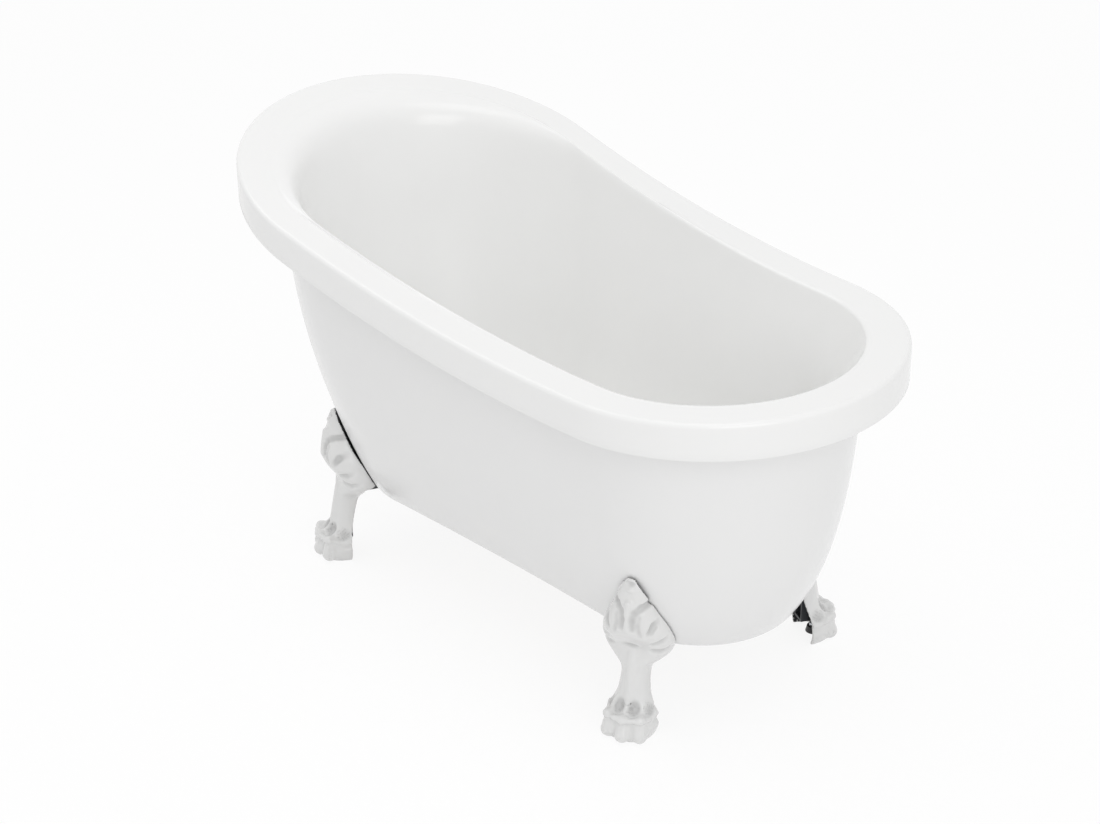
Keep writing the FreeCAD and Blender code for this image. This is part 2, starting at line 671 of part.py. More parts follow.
def underframe():
    bolts, nuts, screws, board_holes = [], [], [], []
    for side_name, side_sign in SIDES:
        y = S["rail_offset"] * side_sign
        tube = square_tube("side_rail_" + side_name, S["rail_head_x"], S["rail_low_x"], y)
        holes = []
        for end_name in ENDS:
            label = "%s_%s" % (end_name, side_name)
            x = crossing_x(end_name)
            inner_floor = rail_base + S["rail_wall"]
            holes.append(rod("rail_hole_" + label, bolt_hole, x, y,
                             rail_base - S["rail_wall"], inner_floor + S["rail_wall"]))
            seat = rail_base - S["leg_wall"]
            head = hexagon("rail_bolt_head_" + label, S["hex_head"], x, y,
                           seat - S["hex_height"], seat)
            shank = rod("rail_bolt_shank_" + label, S["rail_bolt"], x, y, seat,
                        seat + S["rail_bolt_length"])
            bolts.append(fuse("rail_bolt_" + label, head, shank))
            nut = hexagon("rail_nut_blank_" + label, S["hex_head"], x, y, inner_floor,
                          inner_floor + S["hex_height"])
            nuts.append(cut("rail_nut_" + label, nut,
                            rod("rail_nut_bore_" + label, bolt_hole, x, y,
                                rail_base, board_base)))
        for index, x in enumerate(screw_places()):
            label = "%s_%d" % (side_name, index)
            holes.append(rod("screw_hole_" + label, screw_hole, x, y,
                             rail_base - S["rail_wall"], board_base + S["rail_wall"]))
            board_holes.append(rod("board_hole_" + label, S["screw_diameter"], x, y,
                                   board_base - S["rail_wall"], board_base + S["screw_bite"]))
            head = rod("screw_head_" + label, S["screw_head"], x, y,
                       rail_base - S["screw_head_height"], rail_base)
            shank = rod("screw_shank_" + label, S["screw_diameter"], x, y, rail_base,
                        board_base + S["screw_bite"])
            screws.append(fuse("screw_" + label, head, shank))
        keep("side_rail_" + side_name, cut("rail_" + side_name, tube, *holes))
    for end_name, x in (("head", S["crossbar_head_x"]), ("low", S["crossbar_low_x"])):
        keep(end_name + "_crossbar", square_tube("crossbar_" + end_name, x, x, ZERO, False))
    keep("rail_bolts", group("rail_bolt_group", bolts))
    keep("rail_nuts", group("rail_nut_group", nuts))
    keep("board_screws", group("screw_group", screws))
    corner = S["board_corner"]
    half = S["board_width"] / 2
    plates = [
        box("board_long", S["board_head_x"], S["board_low_x"], corner - half, half - corner,
            board_base, board_top),
        box("board_wide", S["board_head_x"] + corner, S["board_low_x"] - corner, -half, half,
            board_base, board_top),
    ]
    for index, x in enumerate((S["board_head_x"] + corner, S["board_low_x"] - corner)):
        for side_name, side_sign in SIDES:
            plates.append(rod("board_corner_%d_%s" % (index, side_name), corner * 2, x,
                              (half - corner) * side_sign, board_base, board_top))
    keep("base_board", cut("board", fuse("board_blank", *plates), *board_holes))


# ---------------------------------------------------------------------- legs and claw feet

def claw_wire(height, middle, depth, width, toes):
    """Closed outline of the leg at one height, with the toes as swellings at the front."""
    points = []
    for index in range(CLAW_POINTS):
        angle = 360.0 * index / CLAW_POINTS
        heading = (angle + 180.0) % 360.0 - 180.0
        along = math.cos(math.radians(angle))
        across = math.sin(math.radians(angle))
        swell = 1.0
        if abs(heading) < 2 * TOE_SPACING:
            swell -= toes * math.cos(math.radians(360.0 * heading / TOE_SPACING))
        x = middle + math.copysign(abs(along) ** CLAW_ROUNDNESS, along) * depth / 2 * swell
        y = math.copysign(abs(across) ** CLAW_ROUNDNESS, across) * width / 2
        points.append(Vector(x, y, height))
    curve = Part.BSplineCurve()
    curve.interpolate(Points=points, PeriodicFlag=True)
    return Part.Wire([curve.toShape()])


def claw_leg(name, sections, wall=0.0):
    """Paw, shank and knee as one loft, drawn in by a wall; its back is cut later."""
    wires = []
    for share, middle, depth, width_name, width_share, toes in sections:
        height = sheet.get("foot_height") * share
        width = sheet.get(width_name) * width_share
        stretch = sheet.get("paw_length") / PATTERN_PAW if width_name == "paw_width" else 1.0
        wires.append(claw_wire(height, middle, depth * stretch - wall * 2, width - wall * 2, toes))
    thing = doc.addObject("Part::Feature", name)
    thing.Shape = Part.makeLoft(wires, True, False)
    return thing


def side_prism(name, corners, width):
    """Prism across a foot, from its corners seen from the side."""
    sketch = doc.addObject("Sketcher::SketchObject", name + "_profile")
    sketch.Placement = Placement(Vector(), Rotation(Vector(1, 0, 0), 90))
    points = [Vector(x.value, z.value) for x, z in corners]
    count = len(points)
    for index, point in enumerate(points):
        sketch.addGeometry(Part.LineSegment(point, points[(index + 1) % count]))
    for index in range(count):
        following = (index + 1) % count
        sketch.addConstraint(Sketcher.Constraint("Coincident", index, 2, following, 1))
    for index, (x, z) in enumerate(corners):
        datum(sketch, "DistanceX", x, -1, 1, index, 1)
        datum(sketch, "DistanceY", z, -1, 1, index, 1)
    return extrude(name, sketch, Vector(0, 1, 0), width, symmetric=True)


def claw_foot(end_name, side_name, side_sign):
    """Hollow casting, open at the back and underneath, with a boss for its two bolts."""
    label = "%s_%s" % (end_name, side_name)
    behind = S["nape_depth"] - S["knee_width"]
    below = -S["clear_above"]
    outside = claw_leg("claw_leg_" + label, CLAW_SECTIONS)
    hollow = claw_leg("claw_core_" + label, CLAW_SECTIONS[:CAVITY_SECTIONS], S["foot_wall"].value)
    cavity = cut("claw_cavity_" + label, hollow,
                 slab("claw_toe_block_" + label, S["cavity_front"], S["knee_width"],
                      S["knee_width"], below, S["foot_height"]),
                 slab("claw_roof_" + label, behind, S["knee_width"], S["knee_width"],
                      S["cavity_top"], S["foot_height"]),
                 slab("claw_boss_" + label, S["land_depth"], S["knee_width"], S["leg_width"],
                      S["boss_base"], S["boss_top"]), refine=False)
    back = side_prism("claw_back_" + label, [
        (behind, below),
        (behind, S["cavity_top"]),
        (S["nape_depth"], S["cavity_top"]),
        (S["nape_depth"], S["nape_height"]),
        (S["heel_depth"], S["heel_height"]),
        (S["heel_depth"], below),
    ], S["knee_width"] * 2)
    taps = []
    for level in ("low", "high"):
        taps.append(rod_along_x("claw_tap_%s_%s" % (level, label), S["foot_bolt"],
                                S["land_depth"], S["land_depth"] + S["foot_bolt_bite"], ZERO,
                                S["foot_bolt_" + level]))
    # the faces of the loft don't survive being merged, so these steps leave them split
    shaped = cut("claw_shaped_" + label, outside, back, cavity, *taps, refine=False)
    foot_frame(shaped, end_name, side_sign)
    keep("claw_foot_" + label, cut("claw_" + label, shaped, skirt_clearance, refine=False))


def leg_bracket(end_name, side_name, side_sign):
    """Steel channel inside the claw foot, its arm under the rail and its leveller lug."""
    label = "%s_%s" % (end_name, side_name)
    width, wall = S["leg_width"], S["leg_wall"]
    front = S["land_depth"]
    back = front - S["leg_depth"]
    inner_end = back - S["arm_reach"]
    post = cut("post_" + label,
               slab("post_solid_" + label, back, front, width, S["leg_base"], rail_base),
               slab("post_bore_" + label, back, front - wall, width - wall * 2,
                    S["leg_base"], rail_base))
    arm = cut("arm_" + label,
              slab("arm_solid_" + label, inner_end, front, width, rail_base - S["arm_drop"],
                   rail_base),
              slab("arm_bore_" + label, inner_end, front - wall, width - wall * 2,
                   rail_base - S["arm_drop"], rail_base - wall))
    lug_top = S["leg_base"] + S["lug_thickness"]
    lug = slab("lug_" + label, back, S["stud_offset"] + S["lug_front"], S["lug_width"],
               S["leg_base"], lug_top)
    nut = hexagon("weld_nut_" + label, S["nut_size"], S["stud_offset"], ZERO, lug_top,
                  lug_top + S["nut_height"])
    tools = [
        rod("stud_bore_" + label, S["stud_size"] + S["stud_clearance"] * 2, S["stud_offset"],
            ZERO, ZERO, rail_base),
        rod("arm_hole_" + label, bolt_hole, rail_crossing, ZERO, ZERO, rail_base + wall),
    ]
    for level in ("low", "high"):
        tools.append(rod_along_x("post_hole_%s_%s" % (level, label),
                                 S["foot_bolt"] + S["hole_clearance"], back, front, ZERO,
                                 S["foot_bolt_" + level]))
    bracket = cut("bracket_" + label, fuse("bracket_blank_" + label, post, arm, lug, nut), *tools)
    keep("leg_bracket_" + label, foot_frame(bracket, end_name, side_sign))


def foot_fasteners(end_name, side_name, side_sign):
    label = "%s_%s" % (end_name, side_name)
    seat = S["land_depth"] - S["leg_wall"]
    under_head = seat - S["washer_thickness"]
    bolts, washers = [], []
    for level in ("low", "high"):
        name = "%s_%s" % (level, label)
        z = S["foot_bolt_" + level]
        head = hexagon_along_x("foot_bolt_head_" + name, S["hex_head"],
                               under_head - S["hex_height"], under_head, ZERO, z)
        shank = rod_along_x("foot_bolt_shank_" + name, S["foot_bolt"], under_head,
                            S["land_depth"] + S["foot_bolt_bite"], ZERO, z)
        bolts.append(foot_frame(fuse("foot_bolt_" + name, head, shank), end_name, side_sign))
        disc = rod_along_x("washer_disc_" + name, S["washer_size"], under_head, seat, ZERO, z)
        bore = rod_along_x("washer_bore_" + name, S["foot_bolt"] + S["hole_clearance"],
                           under_head, seat, ZERO, z)
        washers.append(foot_frame(cut("washer_" + name, disc, bore), end_name, side_sign))
    return bolts, washers


def leveller(end_name, side_name, side_sign):
    """Threaded stud with its spanner hexagon, standing in the socket of a plastic pad."""
    label = "%s_%s" % (end_name, side_name)
    x = S["stud_offset"]
    pad_top = S["pad_rest"] + S["pad_height"]
    stud_base = pad_top - S["pad_socket"]
    pad = cone("pad_blank_" + label, S["pad_size"], S["pad_top_size"], x, ZERO,
               S["pad_rest"], pad_top)
    socket = rod("pad_socket_" + label, S["stud_size"] + S["stud_clearance"] * 2, x, ZERO,
                 stud_base, pad_top + S["pad_socket"])
    keep("levelling_pad_" + label, foot_frame(cut("pad_" + label, pad, socket), end_name, side_sign))
    stud = rod("stud_thread_" + label, S["stud_size"], x, ZERO, stud_base,
               stud_base + S["stud_length"])
    grip_base = pad_top + S["grip_gap"]
    grip = hexagon("stud_grip_" + label, S["grip_size"], x, ZERO, grip_base,
                   grip_base + S["grip_height"])
    keep("levelling_stud_" + label,
         foot_frame(fuse("stud_" + label, stud, grip), end_name, side_sign))


# --------------------------------------------------------------------------------- waste

def ring(name, outer, bore, z0, z1):
    """Flat ring round the waste's axis."""
    x = S["waste_x"]
    return cut(name, rod(name + "_disc", outer, x, ZERO, z0, z1),
               rod(name + "_bore", bore, x, ZERO, z0, z1))


def waste_set():
    x = S["waste_x"]
    floor = S["floor_height"]
    seal = S["seal_thickness"]
    seat = floor + seal
    top = seat + S["flange_height"]
    thread = S["throat_outer"] + S["hole_clearance"]
    keep("waste_seal_upper", ring("upper_seal", S["flange_size"] - S["flange_height"], thread,
                                  floor, seat))
    plate = cone("flange_plate", S["flange_size"], S["flange_size"] - S["flange_height"], x, ZERO,
                 seat, top)
    barrel = rod("flange_barrel", S["throat_outer"], x, ZERO, seat - S["throat_depth"], seat)
    keep("waste_flange", cut("flange", fuse("flange_blank", plate, barrel),
                             rod("flange_throat", S["throat_bore"], x, ZERO,
                                 seat - S["throat_depth"], top)))
    keep("waste_seal_lower", ring("lower_seal", S["trap_flange"], thread, board_top - seal,
                                  board_top))
    trap_top = board_top - seal
    trap_base = trap_top - S["trap_height"]
    barrel_end = seat - S["throat_depth"]
    port = S["hose_size"] + S["hole_clearance"]
    port_end = x + S["port_reach"]
    inside = S["trap_size"] - S["trap_wall"] * 2
    neck_size = S["outlet_size"] + S["trap_wall"] * 2
    neck_end = trap_base - S["outlet_nut_height"]
    body = fuse(
        "trap_blank",
        rod("trap_cup", S["trap_size"], x, ZERO, trap_base, trap_top),
        rod("trap_rim", S["trap_flange"], x, ZERO, trap_top - S["trap_wall"], trap_top),
        rod("trap_neck", neck_size, x, ZERO, neck_end, trap_base),
        rod_along_x("trap_port", port + S["spigot_wall"] * 2, x, port_end, ZERO,
                    S["port_height"]),
    )
    hollow = cut(
        "trap_hollow", body,
        rod("trap_thread", thread, x, ZERO, barrel_end, trap_top),
        rod("trap_inside", inside, x, ZERO, trap_base + S["trap_wall"], barrel_end),
        rod("trap_drain", S["outlet_size"] - S["outlet_wall"] * 2, x, ZERO, trap_base,
            trap_base + S["trap_wall"]),
        rod("trap_socket", S["outlet_size"] + S["hole_clearance"], x, ZERO, neck_end, trap_base),
        rod_along_x("trap_port_bore", port, x, port_end, ZERO, S["port_height"]),
    )
    spider_base = trap_base + S["trap_wall"]
    spider_top = spider_base + S["spider_width"]
    half = S["spider_width"] / 2
    reach = inside / 2 + S["spider_bite"]
    spider = [
        slab("spider_long", x - reach, x + reach, S["spider_width"], spider_base, spider_top),
        slab("spider_cross", x - half, x + half, reach * 2, spider_base, spider_top),
    ]
    keep("waste_body", cut("trap", fuse("trap_with_spider", hollow, *spider),
                           rod("spider_bore", S["bush_size"], x, ZERO, spider_base, spider_top)))
    stem_bore = S["stem_size"] + S["stem_clearance"] * 2
    keep("plug_cartridge", ring("cartridge", S["bush_size"], stem_bore, spider_base,
                                spider_base + S["bush_height"]))
    lip = neck_end - S["trap_wall"]
    tube = rod("outlet_tube", S["outlet_size"], x, ZERO, S["outlet_end"], trap_base)
    bead = rod("outlet_bead", S["bead_size"], x, ZERO, lip - S["bead_height"], lip)
    keep("outlet_pipe", cut("outlet", fuse("outlet_blank", tube, bead),
                            rod("outlet_bore", S["outlet_size"] - S["outlet_wall"] * 2, x, ZERO,
                                S["outlet_end"], trap_base)))
    nut = cut("outlet_nut_cut",
              hexagon("outlet_nut_blank", S["outlet_nut"], x, ZERO, lip,
                      trap_base - S["trap_wall"]),
              rod("outlet_nut_thread", neck_size + S["hole_clearance"], x, ZERO, neck_end,
                  trap_base),
              rod("outlet_nut_bore", S["outlet_size"] + S["hole_clearance"], x, ZERO, lip,
                  neck_end))
    keep("outlet_nut", nut)
    ring_base = top + S["plug_gap"] + S["plug_lift"]
    cap_base = ring_base + S["ring_height"]
    keep("plug_seal", ring("cap_seal", S["ring_size"], S["stem_size"], ring_base, cap_base))
    skirt = rod("cap_skirt", S["cap_size"], x, ZERO, cap_base, cap_base + S["cap_height"] / 2)
    crown = cone("cap_crown", S["cap_size"], S["cap_size"] - S["cap_height"] * 2, x, ZERO,
                 cap_base + S["cap_height"] / 2, cap_base + S["cap_height"])
    stem = rod("cap_stem", S["stem_size"], x, ZERO, cap_base - S["stem_length"], cap_base)
    keep("plug_cap", fuse("cap", skirt, crown, stem))


# ------------------------------------------------------------------------------ overflow

def overflow_frame(name, *shapes):
    """Carry shapes modelled along X from the origin to the sloping wall of the low end."""
    thing = group(name, shapes)
    thing.Placement = Placement(Vector(), Rotation(Vector(0, 1, 0), 90))
    bind(thing, "Placement.Rotation.Angle", S["overflow_tilt"])
    return place(thing, S["tub_length"] / 2 - S["overflow_inset"], z=S["overflow_height"])


def overflow_rod(name, diameter, x0, x1):
    return rod_along_x(name, diameter, x0, x1, ZERO, ZERO)


def overflow_cover():
    stand, wall = S["cover_stand"], S["cover_wall"]
    cup = overflow_rod("cover_cup", S["cover_size"], -stand, S["liner_wall"])
    inside = overflow_rod("cover_inside", S["cover_size"] - wall * 2, wall - stand,
                          S["liner_wall"])
    slot = slab("cover_slot_cut", wall - stand, wall - stand + S["cover_slot"],
                S["cover_size"] / 2, -S["cover_size"], -S["cover_size"] / 4)
    hole = overflow_rod("cover_hole", S["cover_screw"] + S["hole_clearance"], -stand,
                        S["liner_wall"])
    placed = overflow_frame("cover_placed", cut("cover_cup_cut", cup, inside, slot, hole))
    keep("overflow_cover", common("cover", placed, basin_inside))
    head = overflow_rod("cover_screw_head", S["cover_screw_head"],
                        -stand - S["screw_head_height"], -stand)
    shank = overflow_rod("cover_screw_shank", S["cover_screw"], -stand,
                         S["gasket_back"] + S["cover_screw_bite"])
    keep("overflow_screw", overflow_frame("screw_placed", fuse("screw", head, shank)))


def overflow_body():
    back = S["gasket_back"]
    ring = cut("gasket_ring",
               overflow_rod("gasket_disc", S["elbow_size"], ZERO, back),
               overflow_rod("gasket_bore", S["overflow_hole"], ZERO, back))
    keep("overflow_gasket", cut("gasket", overflow_frame("gasket_placed", ring), basin_outside))
    far = back + S["elbow_depth"]
    wall = S["spigot_wall"]
    bore = S["hose_size"] + S["hole_clearance"]
    x = S["tub_length"] / 2 - S["hose_top_inset"]
    top = S["overflow_height"] - S["spigot_rise"]
    bottom = S["overflow_height"] - S["spigot_drop"]
    outside = fuse(
        "elbow_outside",
        overflow_frame("elbow_drum", overflow_rod("elbow_disc", S["elbow_size"], back, far)),
        rod("elbow_spigot", bore + wall * 2, x, ZERO, bottom, top + wall),
    )
    inside = overflow_frame("elbow_hollow", overflow_rod(
        "elbow_bore", S["elbow_size"] - wall * 2, back, far - wall))
    boss = cut("elbow_boss",
               overflow_rod("elbow_boss_rod", S["boss_size"], back, far - wall / 2),
               overflow_rod("elbow_boss_bore", S["cover_screw"], back,
                            back + S["cover_screw_bite"]))
    shell = cut("elbow_shell", outside, inside,
                rod("elbow_spigot_bore", bore, x, ZERO, bottom, top))
    keep("overflow_body", fuse("elbow", shell, overflow_frame("elbow_boss_placed", boss)))


def pipe_path(name, places, radii):
    """Centre line in the middle plane: straight runs joined by tangent arcs."""
    sketch = doc.addObject("Sketcher::SketchObject", name)
    sketch.Placement = Placement(Vector(), Rotation(Vector(1, 0, 0), 90))
    points = [Vector(x.value, z.value) for x, z in places]
    begin = points[0]
    for index, radius in enumerate(radii, start=1):
        before, corner, after = points[index - 1:index + 2]
        into = (corner - before).normalize()
        out = (after - corner).normalize()
        reach = radius.value * math.tan(into.getAngle(out) / 2)
        start, end = corner - into * reach, corner + out * reach
        left = Vector(-into.y, into.x)
        circle = Part.Circle(start + left * radius.value, Vector(0, 0, 1), radius.value)
        first = math.atan2(-left.y, -left.x)
        sketch.addGeometry(Part.LineSegment(begin, start))
        sketch.addGeometry(Part.ArcOfCircle(circle, first, first + into.getAngle(out)))
        begin = end
    sketch.addGeometry(Part.LineSegment(begin, points[-1]))
    last = 2 * len(radii)
    for edge in range(last):
        sketch.addConstraint(Sketcher.Constraint("Tangent", edge, 2, edge + 1, 1))
    for index, radius in enumerate(radii):
        x, z = places[index + 1]
        corner = sketch.addGeometry(Part.Point(points[index + 1]), True)
        for line in (2 * index, 2 * index + 2):
            sketch.addConstraint(Sketcher.Constraint("PointOnObject", corner, 1, line))
        datum(sketch, "DistanceX", x, -1, 1, corner, 1)
        datum(sketch, "DistanceY", z, -1, 1, corner, 1)
        datum(sketch, "Radius", radius, 2 * index + 1)
    for (x, z), edge, end in ((places[0], 0, 1), (places[-1], last, 2)):
        datum(sketch, "DistanceX", x, -1, 1, edge, end)
        datum(sketch, "DistanceY", z, -1, 1, edge, end)
    return sketch


def sweep(name, path, edges, diameter, x, z):
    """Round bar along a path that starts at (x, z) heading along X."""
    profile = doc.addObject("Sketcher::SketchObject", name + "_profile")
    profile.Placement = Placement(Vector(), Rotation(Vector(0, 1, 0), 90))
    place(profile, x, z=z)
    profile.addGeometry(Part.Circle(Vector(), Vector(0, 0, 1), diameter.value / 2))
    profile.addConstraint(Sketcher.Constraint("Coincident", 0, 3, -1, 1))
    datum(profile, "Radius", diameter / 2, 0)
    thing = doc.addObject("Part::Sweep", name)
    thing.Sections = [profile]
    thing.Spine = (path, ["Edge%d" % (index + 1) for index in range(edges)])
    thing.Solid = True
    return thing


def overflow_pipe():
    half = S["tub_length"] / 2
    places = [
        (S["waste_x"] + S["port_reach"] - S["hose_bite"], S["port_height"]),
        (half - S["hose_turn_inset"], S["port_height"]),
        (half - S["hose_middle_inset"], S["hose_middle_height"]),
        (half - S["hose_top_inset"], S["hose_upper_height"]),
        (half - S["hose_top_inset"], S["overflow_height"] - S["hose_top"]),
    ]
    radii = [S["hose_bend"], S["hose_sweep"], S["hose_sweep"]]
    path = pipe_path("pipe_path", places, radii)
    edges = 2 * len(radii) + 1
    bore = S["hose_size"] - S["hose_wall"] * 2
    keep("overflow_pipe", cut("pipe", sweep("pipe_outside", path, edges, S["hose_size"],
                                            *places[0]),
                              sweep("pipe_bore", path, edges, bore, *places[0])))


# ------------------------------------------------------------------------------ assembly

basin_inside = basin_loft("basin_inside", ZERO, ZERO)
basin_outside = basin_loft("basin_outside", S["liner_wall"], S["floor_wall"])
skirt_outside = skirt_loft("skirt_outside", ZERO)
skirt_clearance = skirt_loft("skirt_clearance", S["foot_gap"])

bath_shell()
outer_skirt()
underframe()
foot_bolts, foot_washers = [], []
for foot in FEET:
    claw_foot(*foot)
    leg_bracket(*foot)
    leveller(*foot)
    foot_screws, foot_discs = foot_fasteners(*foot)
    foot_bolts += foot_screws
    foot_washers += foot_discs
keep("foot_bolts", group("foot_bolt_group", foot_bolts))
keep("foot_washers", group("foot_washer_group", foot_washers))
waste_set()
overflow_cover()
overflow_body()
overflow_pipe()
doc.recompute()

faults = []
for thing in doc.Objects:
    if "Invalid" in thing.State or "Error" in thing.State:
        faults.append("%s: %s" % (thing.Name, thing.State))
for node, thing in parts.items():
    if thing.Shape.isNull() or not thing.Shape.isValid() or not thing.Shape.Solids:
        faults.append("%s: bad shape" % node)
if faults:
    raise RuntimeError("; ".join(faults))

os.makedirs("parts", exist_ok=True)
for node, thing in parts.items():
    thing.Shape.exportStep("parts/%s.step" % node)
    print("%s: %d solid(s), %.1f cm3" % (node, len(thing.Shape.Solids), thing.Shape.Volume / 1000))
print("%d nodes" % len(parts))
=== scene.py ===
import json
import math

import bmesh
import bpy
import numpy as np
from mathutils import Matrix, Vector


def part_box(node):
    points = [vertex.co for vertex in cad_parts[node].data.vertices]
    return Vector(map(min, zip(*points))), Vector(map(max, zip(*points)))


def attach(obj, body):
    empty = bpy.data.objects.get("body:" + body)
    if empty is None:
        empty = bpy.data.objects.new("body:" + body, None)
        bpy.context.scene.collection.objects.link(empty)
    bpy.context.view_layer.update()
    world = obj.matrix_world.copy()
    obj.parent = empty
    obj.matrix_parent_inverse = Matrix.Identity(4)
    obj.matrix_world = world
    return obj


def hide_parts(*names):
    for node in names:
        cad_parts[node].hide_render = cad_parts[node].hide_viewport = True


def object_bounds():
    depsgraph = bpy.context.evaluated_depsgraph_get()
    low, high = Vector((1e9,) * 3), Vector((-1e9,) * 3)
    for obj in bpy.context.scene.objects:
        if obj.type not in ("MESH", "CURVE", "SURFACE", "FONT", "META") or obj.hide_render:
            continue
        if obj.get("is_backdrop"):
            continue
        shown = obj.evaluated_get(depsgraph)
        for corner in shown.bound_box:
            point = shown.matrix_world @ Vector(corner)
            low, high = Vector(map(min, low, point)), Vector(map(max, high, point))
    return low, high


# White slipper bath on four claw feet. Metres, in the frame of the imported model: +X is the low
# end with the waste, -X the raised end, -Y the side that faces the camera.

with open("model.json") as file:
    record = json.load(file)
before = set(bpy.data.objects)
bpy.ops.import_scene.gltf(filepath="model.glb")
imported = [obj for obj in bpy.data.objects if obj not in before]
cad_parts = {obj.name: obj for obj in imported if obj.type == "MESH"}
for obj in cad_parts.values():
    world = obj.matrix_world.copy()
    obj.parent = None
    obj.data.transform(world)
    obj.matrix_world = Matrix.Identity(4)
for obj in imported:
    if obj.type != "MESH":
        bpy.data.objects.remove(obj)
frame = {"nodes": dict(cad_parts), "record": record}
cad_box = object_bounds()

MM = 0.001

# ------------------------------------------------------------------------ driving sizes

RIM = {
    "half": 750.0 * MM,
    "head_radius": 383.0 * MM,
    "low_radius": 350.0 * MM,
    "flat": 73.0 * MM,
    "edge": 9.0 * MM,
    "wall": 6.0 * MM,
    "fascia": 70.0 * MM,
}
CREST = {
    "head": 868.0 * MM,
    "low": 726.0 * MM,
    "fall": 0.205,
    "rise": 0.045,
    "radius": 3260.0 * MM,
}
HEM = {"height": 187.0 * MM, "crest_x": 60.0 * MM, "radius": 6000.0 * MM}
FLOOR = 212.0 * MM
FLOOR_WALL = 8.0 * MM
SKIRT_WALL = 5.0 * MM
SKIRT_FILLET = 5.0 * MM
HEM_WIDTH = 26.0 * MM
HEM_ROUND = 7.0 * MM
GLUE_GAP = 0.5 * MM
# How far the two faces of the soffit lie above the lower edge of the fascia.
SOFFIT = {"low": 2.0 * MM, "high": 6.0 * MM}
FASCIA_LIP = 2.0 * MM
# Where the basin leaves the rim, in millimetres: drop and width of the roll at the low end, and
# what the raised end adds to each.
ROLL = {"drop": 7.0, "drop_at_head": 51.0, "width": 7.0, "width_at_head": 3.0}
# Along the bath, in metres, the head's share of the roll grows from none here to all of it.
ROLL_FADE = (0.15, -0.6)
SHOULDER = 12.0 * MM

# Height, then how far the section lies inside the rim at the head end, the low end, the head's
# side and the low side, all in millimetres.
SKIRT_SECTIONS = [
    (140.0, 297.0, 202.0, 183.0, 155.0),
    (200.0, 266.0, 164.0, 152.0, 138.0),
    (300.0, 224.0, 124.0, 113.0, 112.0),
    (450.0, 174.0, 97.0, 70.0, 80.0),
    (620.0, 137.0, 86.0, 42.0, 56.0),
    (810.0, 121.0, 78.0, 31.0, 32.0),
]
BASIN_SECTIONS = [
    (212.0, 430.0, 280.0, 263.0, 240.0),
    (226.0, 385.0, 245.0, 218.0, 200.0),
    (260.0, 338.0, 212.0, 178.0, 165.0),
    (340.0, 288.0, 184.0, 143.0, 135.0),
    (460.0, 238.0, 160.0, 115.0, 112.0),
    (600.0, 194.0, 140.0, 93.0, 93.0),
    (700.0, 170.0, 90.0, 80.0, 76.0),
    (800.0, 144.0, 45.0, 72.0, 66.0),
]

ARC_STEPS = 72
SIDE_STEPS = 40
RIM_STEPS = 8
ROLL_STEPS = 13
BASIN_STEPS = 30
SKIRT_STEPS = 34

WASTE_HOLE = 26.0 * MM
OVERFLOW_HOLE = 23.0 * MM
OVERFLOW_TILT = math.radians(18.0)
DRILL_LENGTH = 120.0 * MM

# Camera, solved from the outline of the bath in the photograph.
CAMERA_PLACE = (3.15326, -2.87676, 2.70046)
CAMERA_AIM = (-0.65345, 0.58992, -0.47434)
CAMERA_ROLL = math.radians(-0.423)
CAMERA_LENS = 81.89


# ------------------------------------------------------------------------ outline of the bath

def stations():
    """Kind and share of every point round the bath: head arc, right side, low arc, left side."""
    kinds, shares = [], []
    for kind, count in enumerate((ARC_STEPS, SIDE_STEPS, ARC_STEPS, SIDE_STEPS)):
        kinds += [kind] * count
        shares += [step / count for step in range(count)]
    return np.array(kinds), np.array(shares)


KINDS, SHARES = stations()
AROUND = len(KINDS)


def outline(head_x, low_x, head_radius, low_radius):
    """Two end circles and their tangents. Each size may be one number or one for each point."""
    sizes = [np.broadcast_to(np.asarray(v, float), (AROUND,)) for v in
             (head_x, low_x, head_radius, low_radius)]
    head_x, low_x, r1, r2 = sizes
    c1, c2 = head_x + r1, low_x - r2
    touch = np.arccos(np.clip((r1 - r2) / (c2 - c1), -1, 1))
    head_turn = touch + (2 * math.pi - 2 * touch) * SHARES
    low_turn = touch * (2 * SHARES - 1)
    side_sign = np.where(KINDS == 1, -1.0, 1.0)
    along = np.where(KINDS == 1, SHARES, 1 - SHARES)
    head_touch = np.stack([c1 + r1 * np.cos(touch), side_sign * r1 * np.sin(touch)], axis=1)
    low_touch = np.stack([c2 + r2 * np.cos(touch), side_sign * r2 * np.sin(touch)], axis=1)
    points = head_touch + (low_touch - head_touch) * along[:, None]
    head = KINDS == 0
    low = KINDS == 2
    points[head] = np.stack([c1 + r1 * np.cos(head_turn), r1 * np.sin(head_turn)], axis=1)[head]
    points[low] = np.stack([c2 + r2 * np.cos(low_turn), r2 * np.sin(low_turn)], axis=1)[low]
    return points


def crest(x):
    """Height of the rim's top at x: two slopes joined by an arc."""
    half, fall, rise, radius = RIM["half"], CREST["fall"], CREST["rise"], CREST["radius"]
    corner = (CREST["head"] - CREST["low"] + 2 * half * rise) / (fall + rise) - half
    corner_z = CREST["head"] - fall * (corner + half)
    a, b = math.atan(fall), math.atan(rise)
    reach = radius * math.tan((a + b) / 2)
    start = corner - reach * math.cos(a)
    end = corner + reach * math.cos(b)
    centre_x = start + radius * math.sin(a)
    centre_z = corner_z + reach * math.sin(a) + radius * math.cos(a)
    x = np.asarray(x, float)
    head_line = CREST["head"] - fall * (x + half)
    low_line = CREST["low"] - rise * (half - x)
    arc = centre_z - np.sqrt(np.maximum(radius ** 2 - (x - centre_x) ** 2, 0))
    return np.where(x < start, head_line, np.where(x > end, low_line, arc))


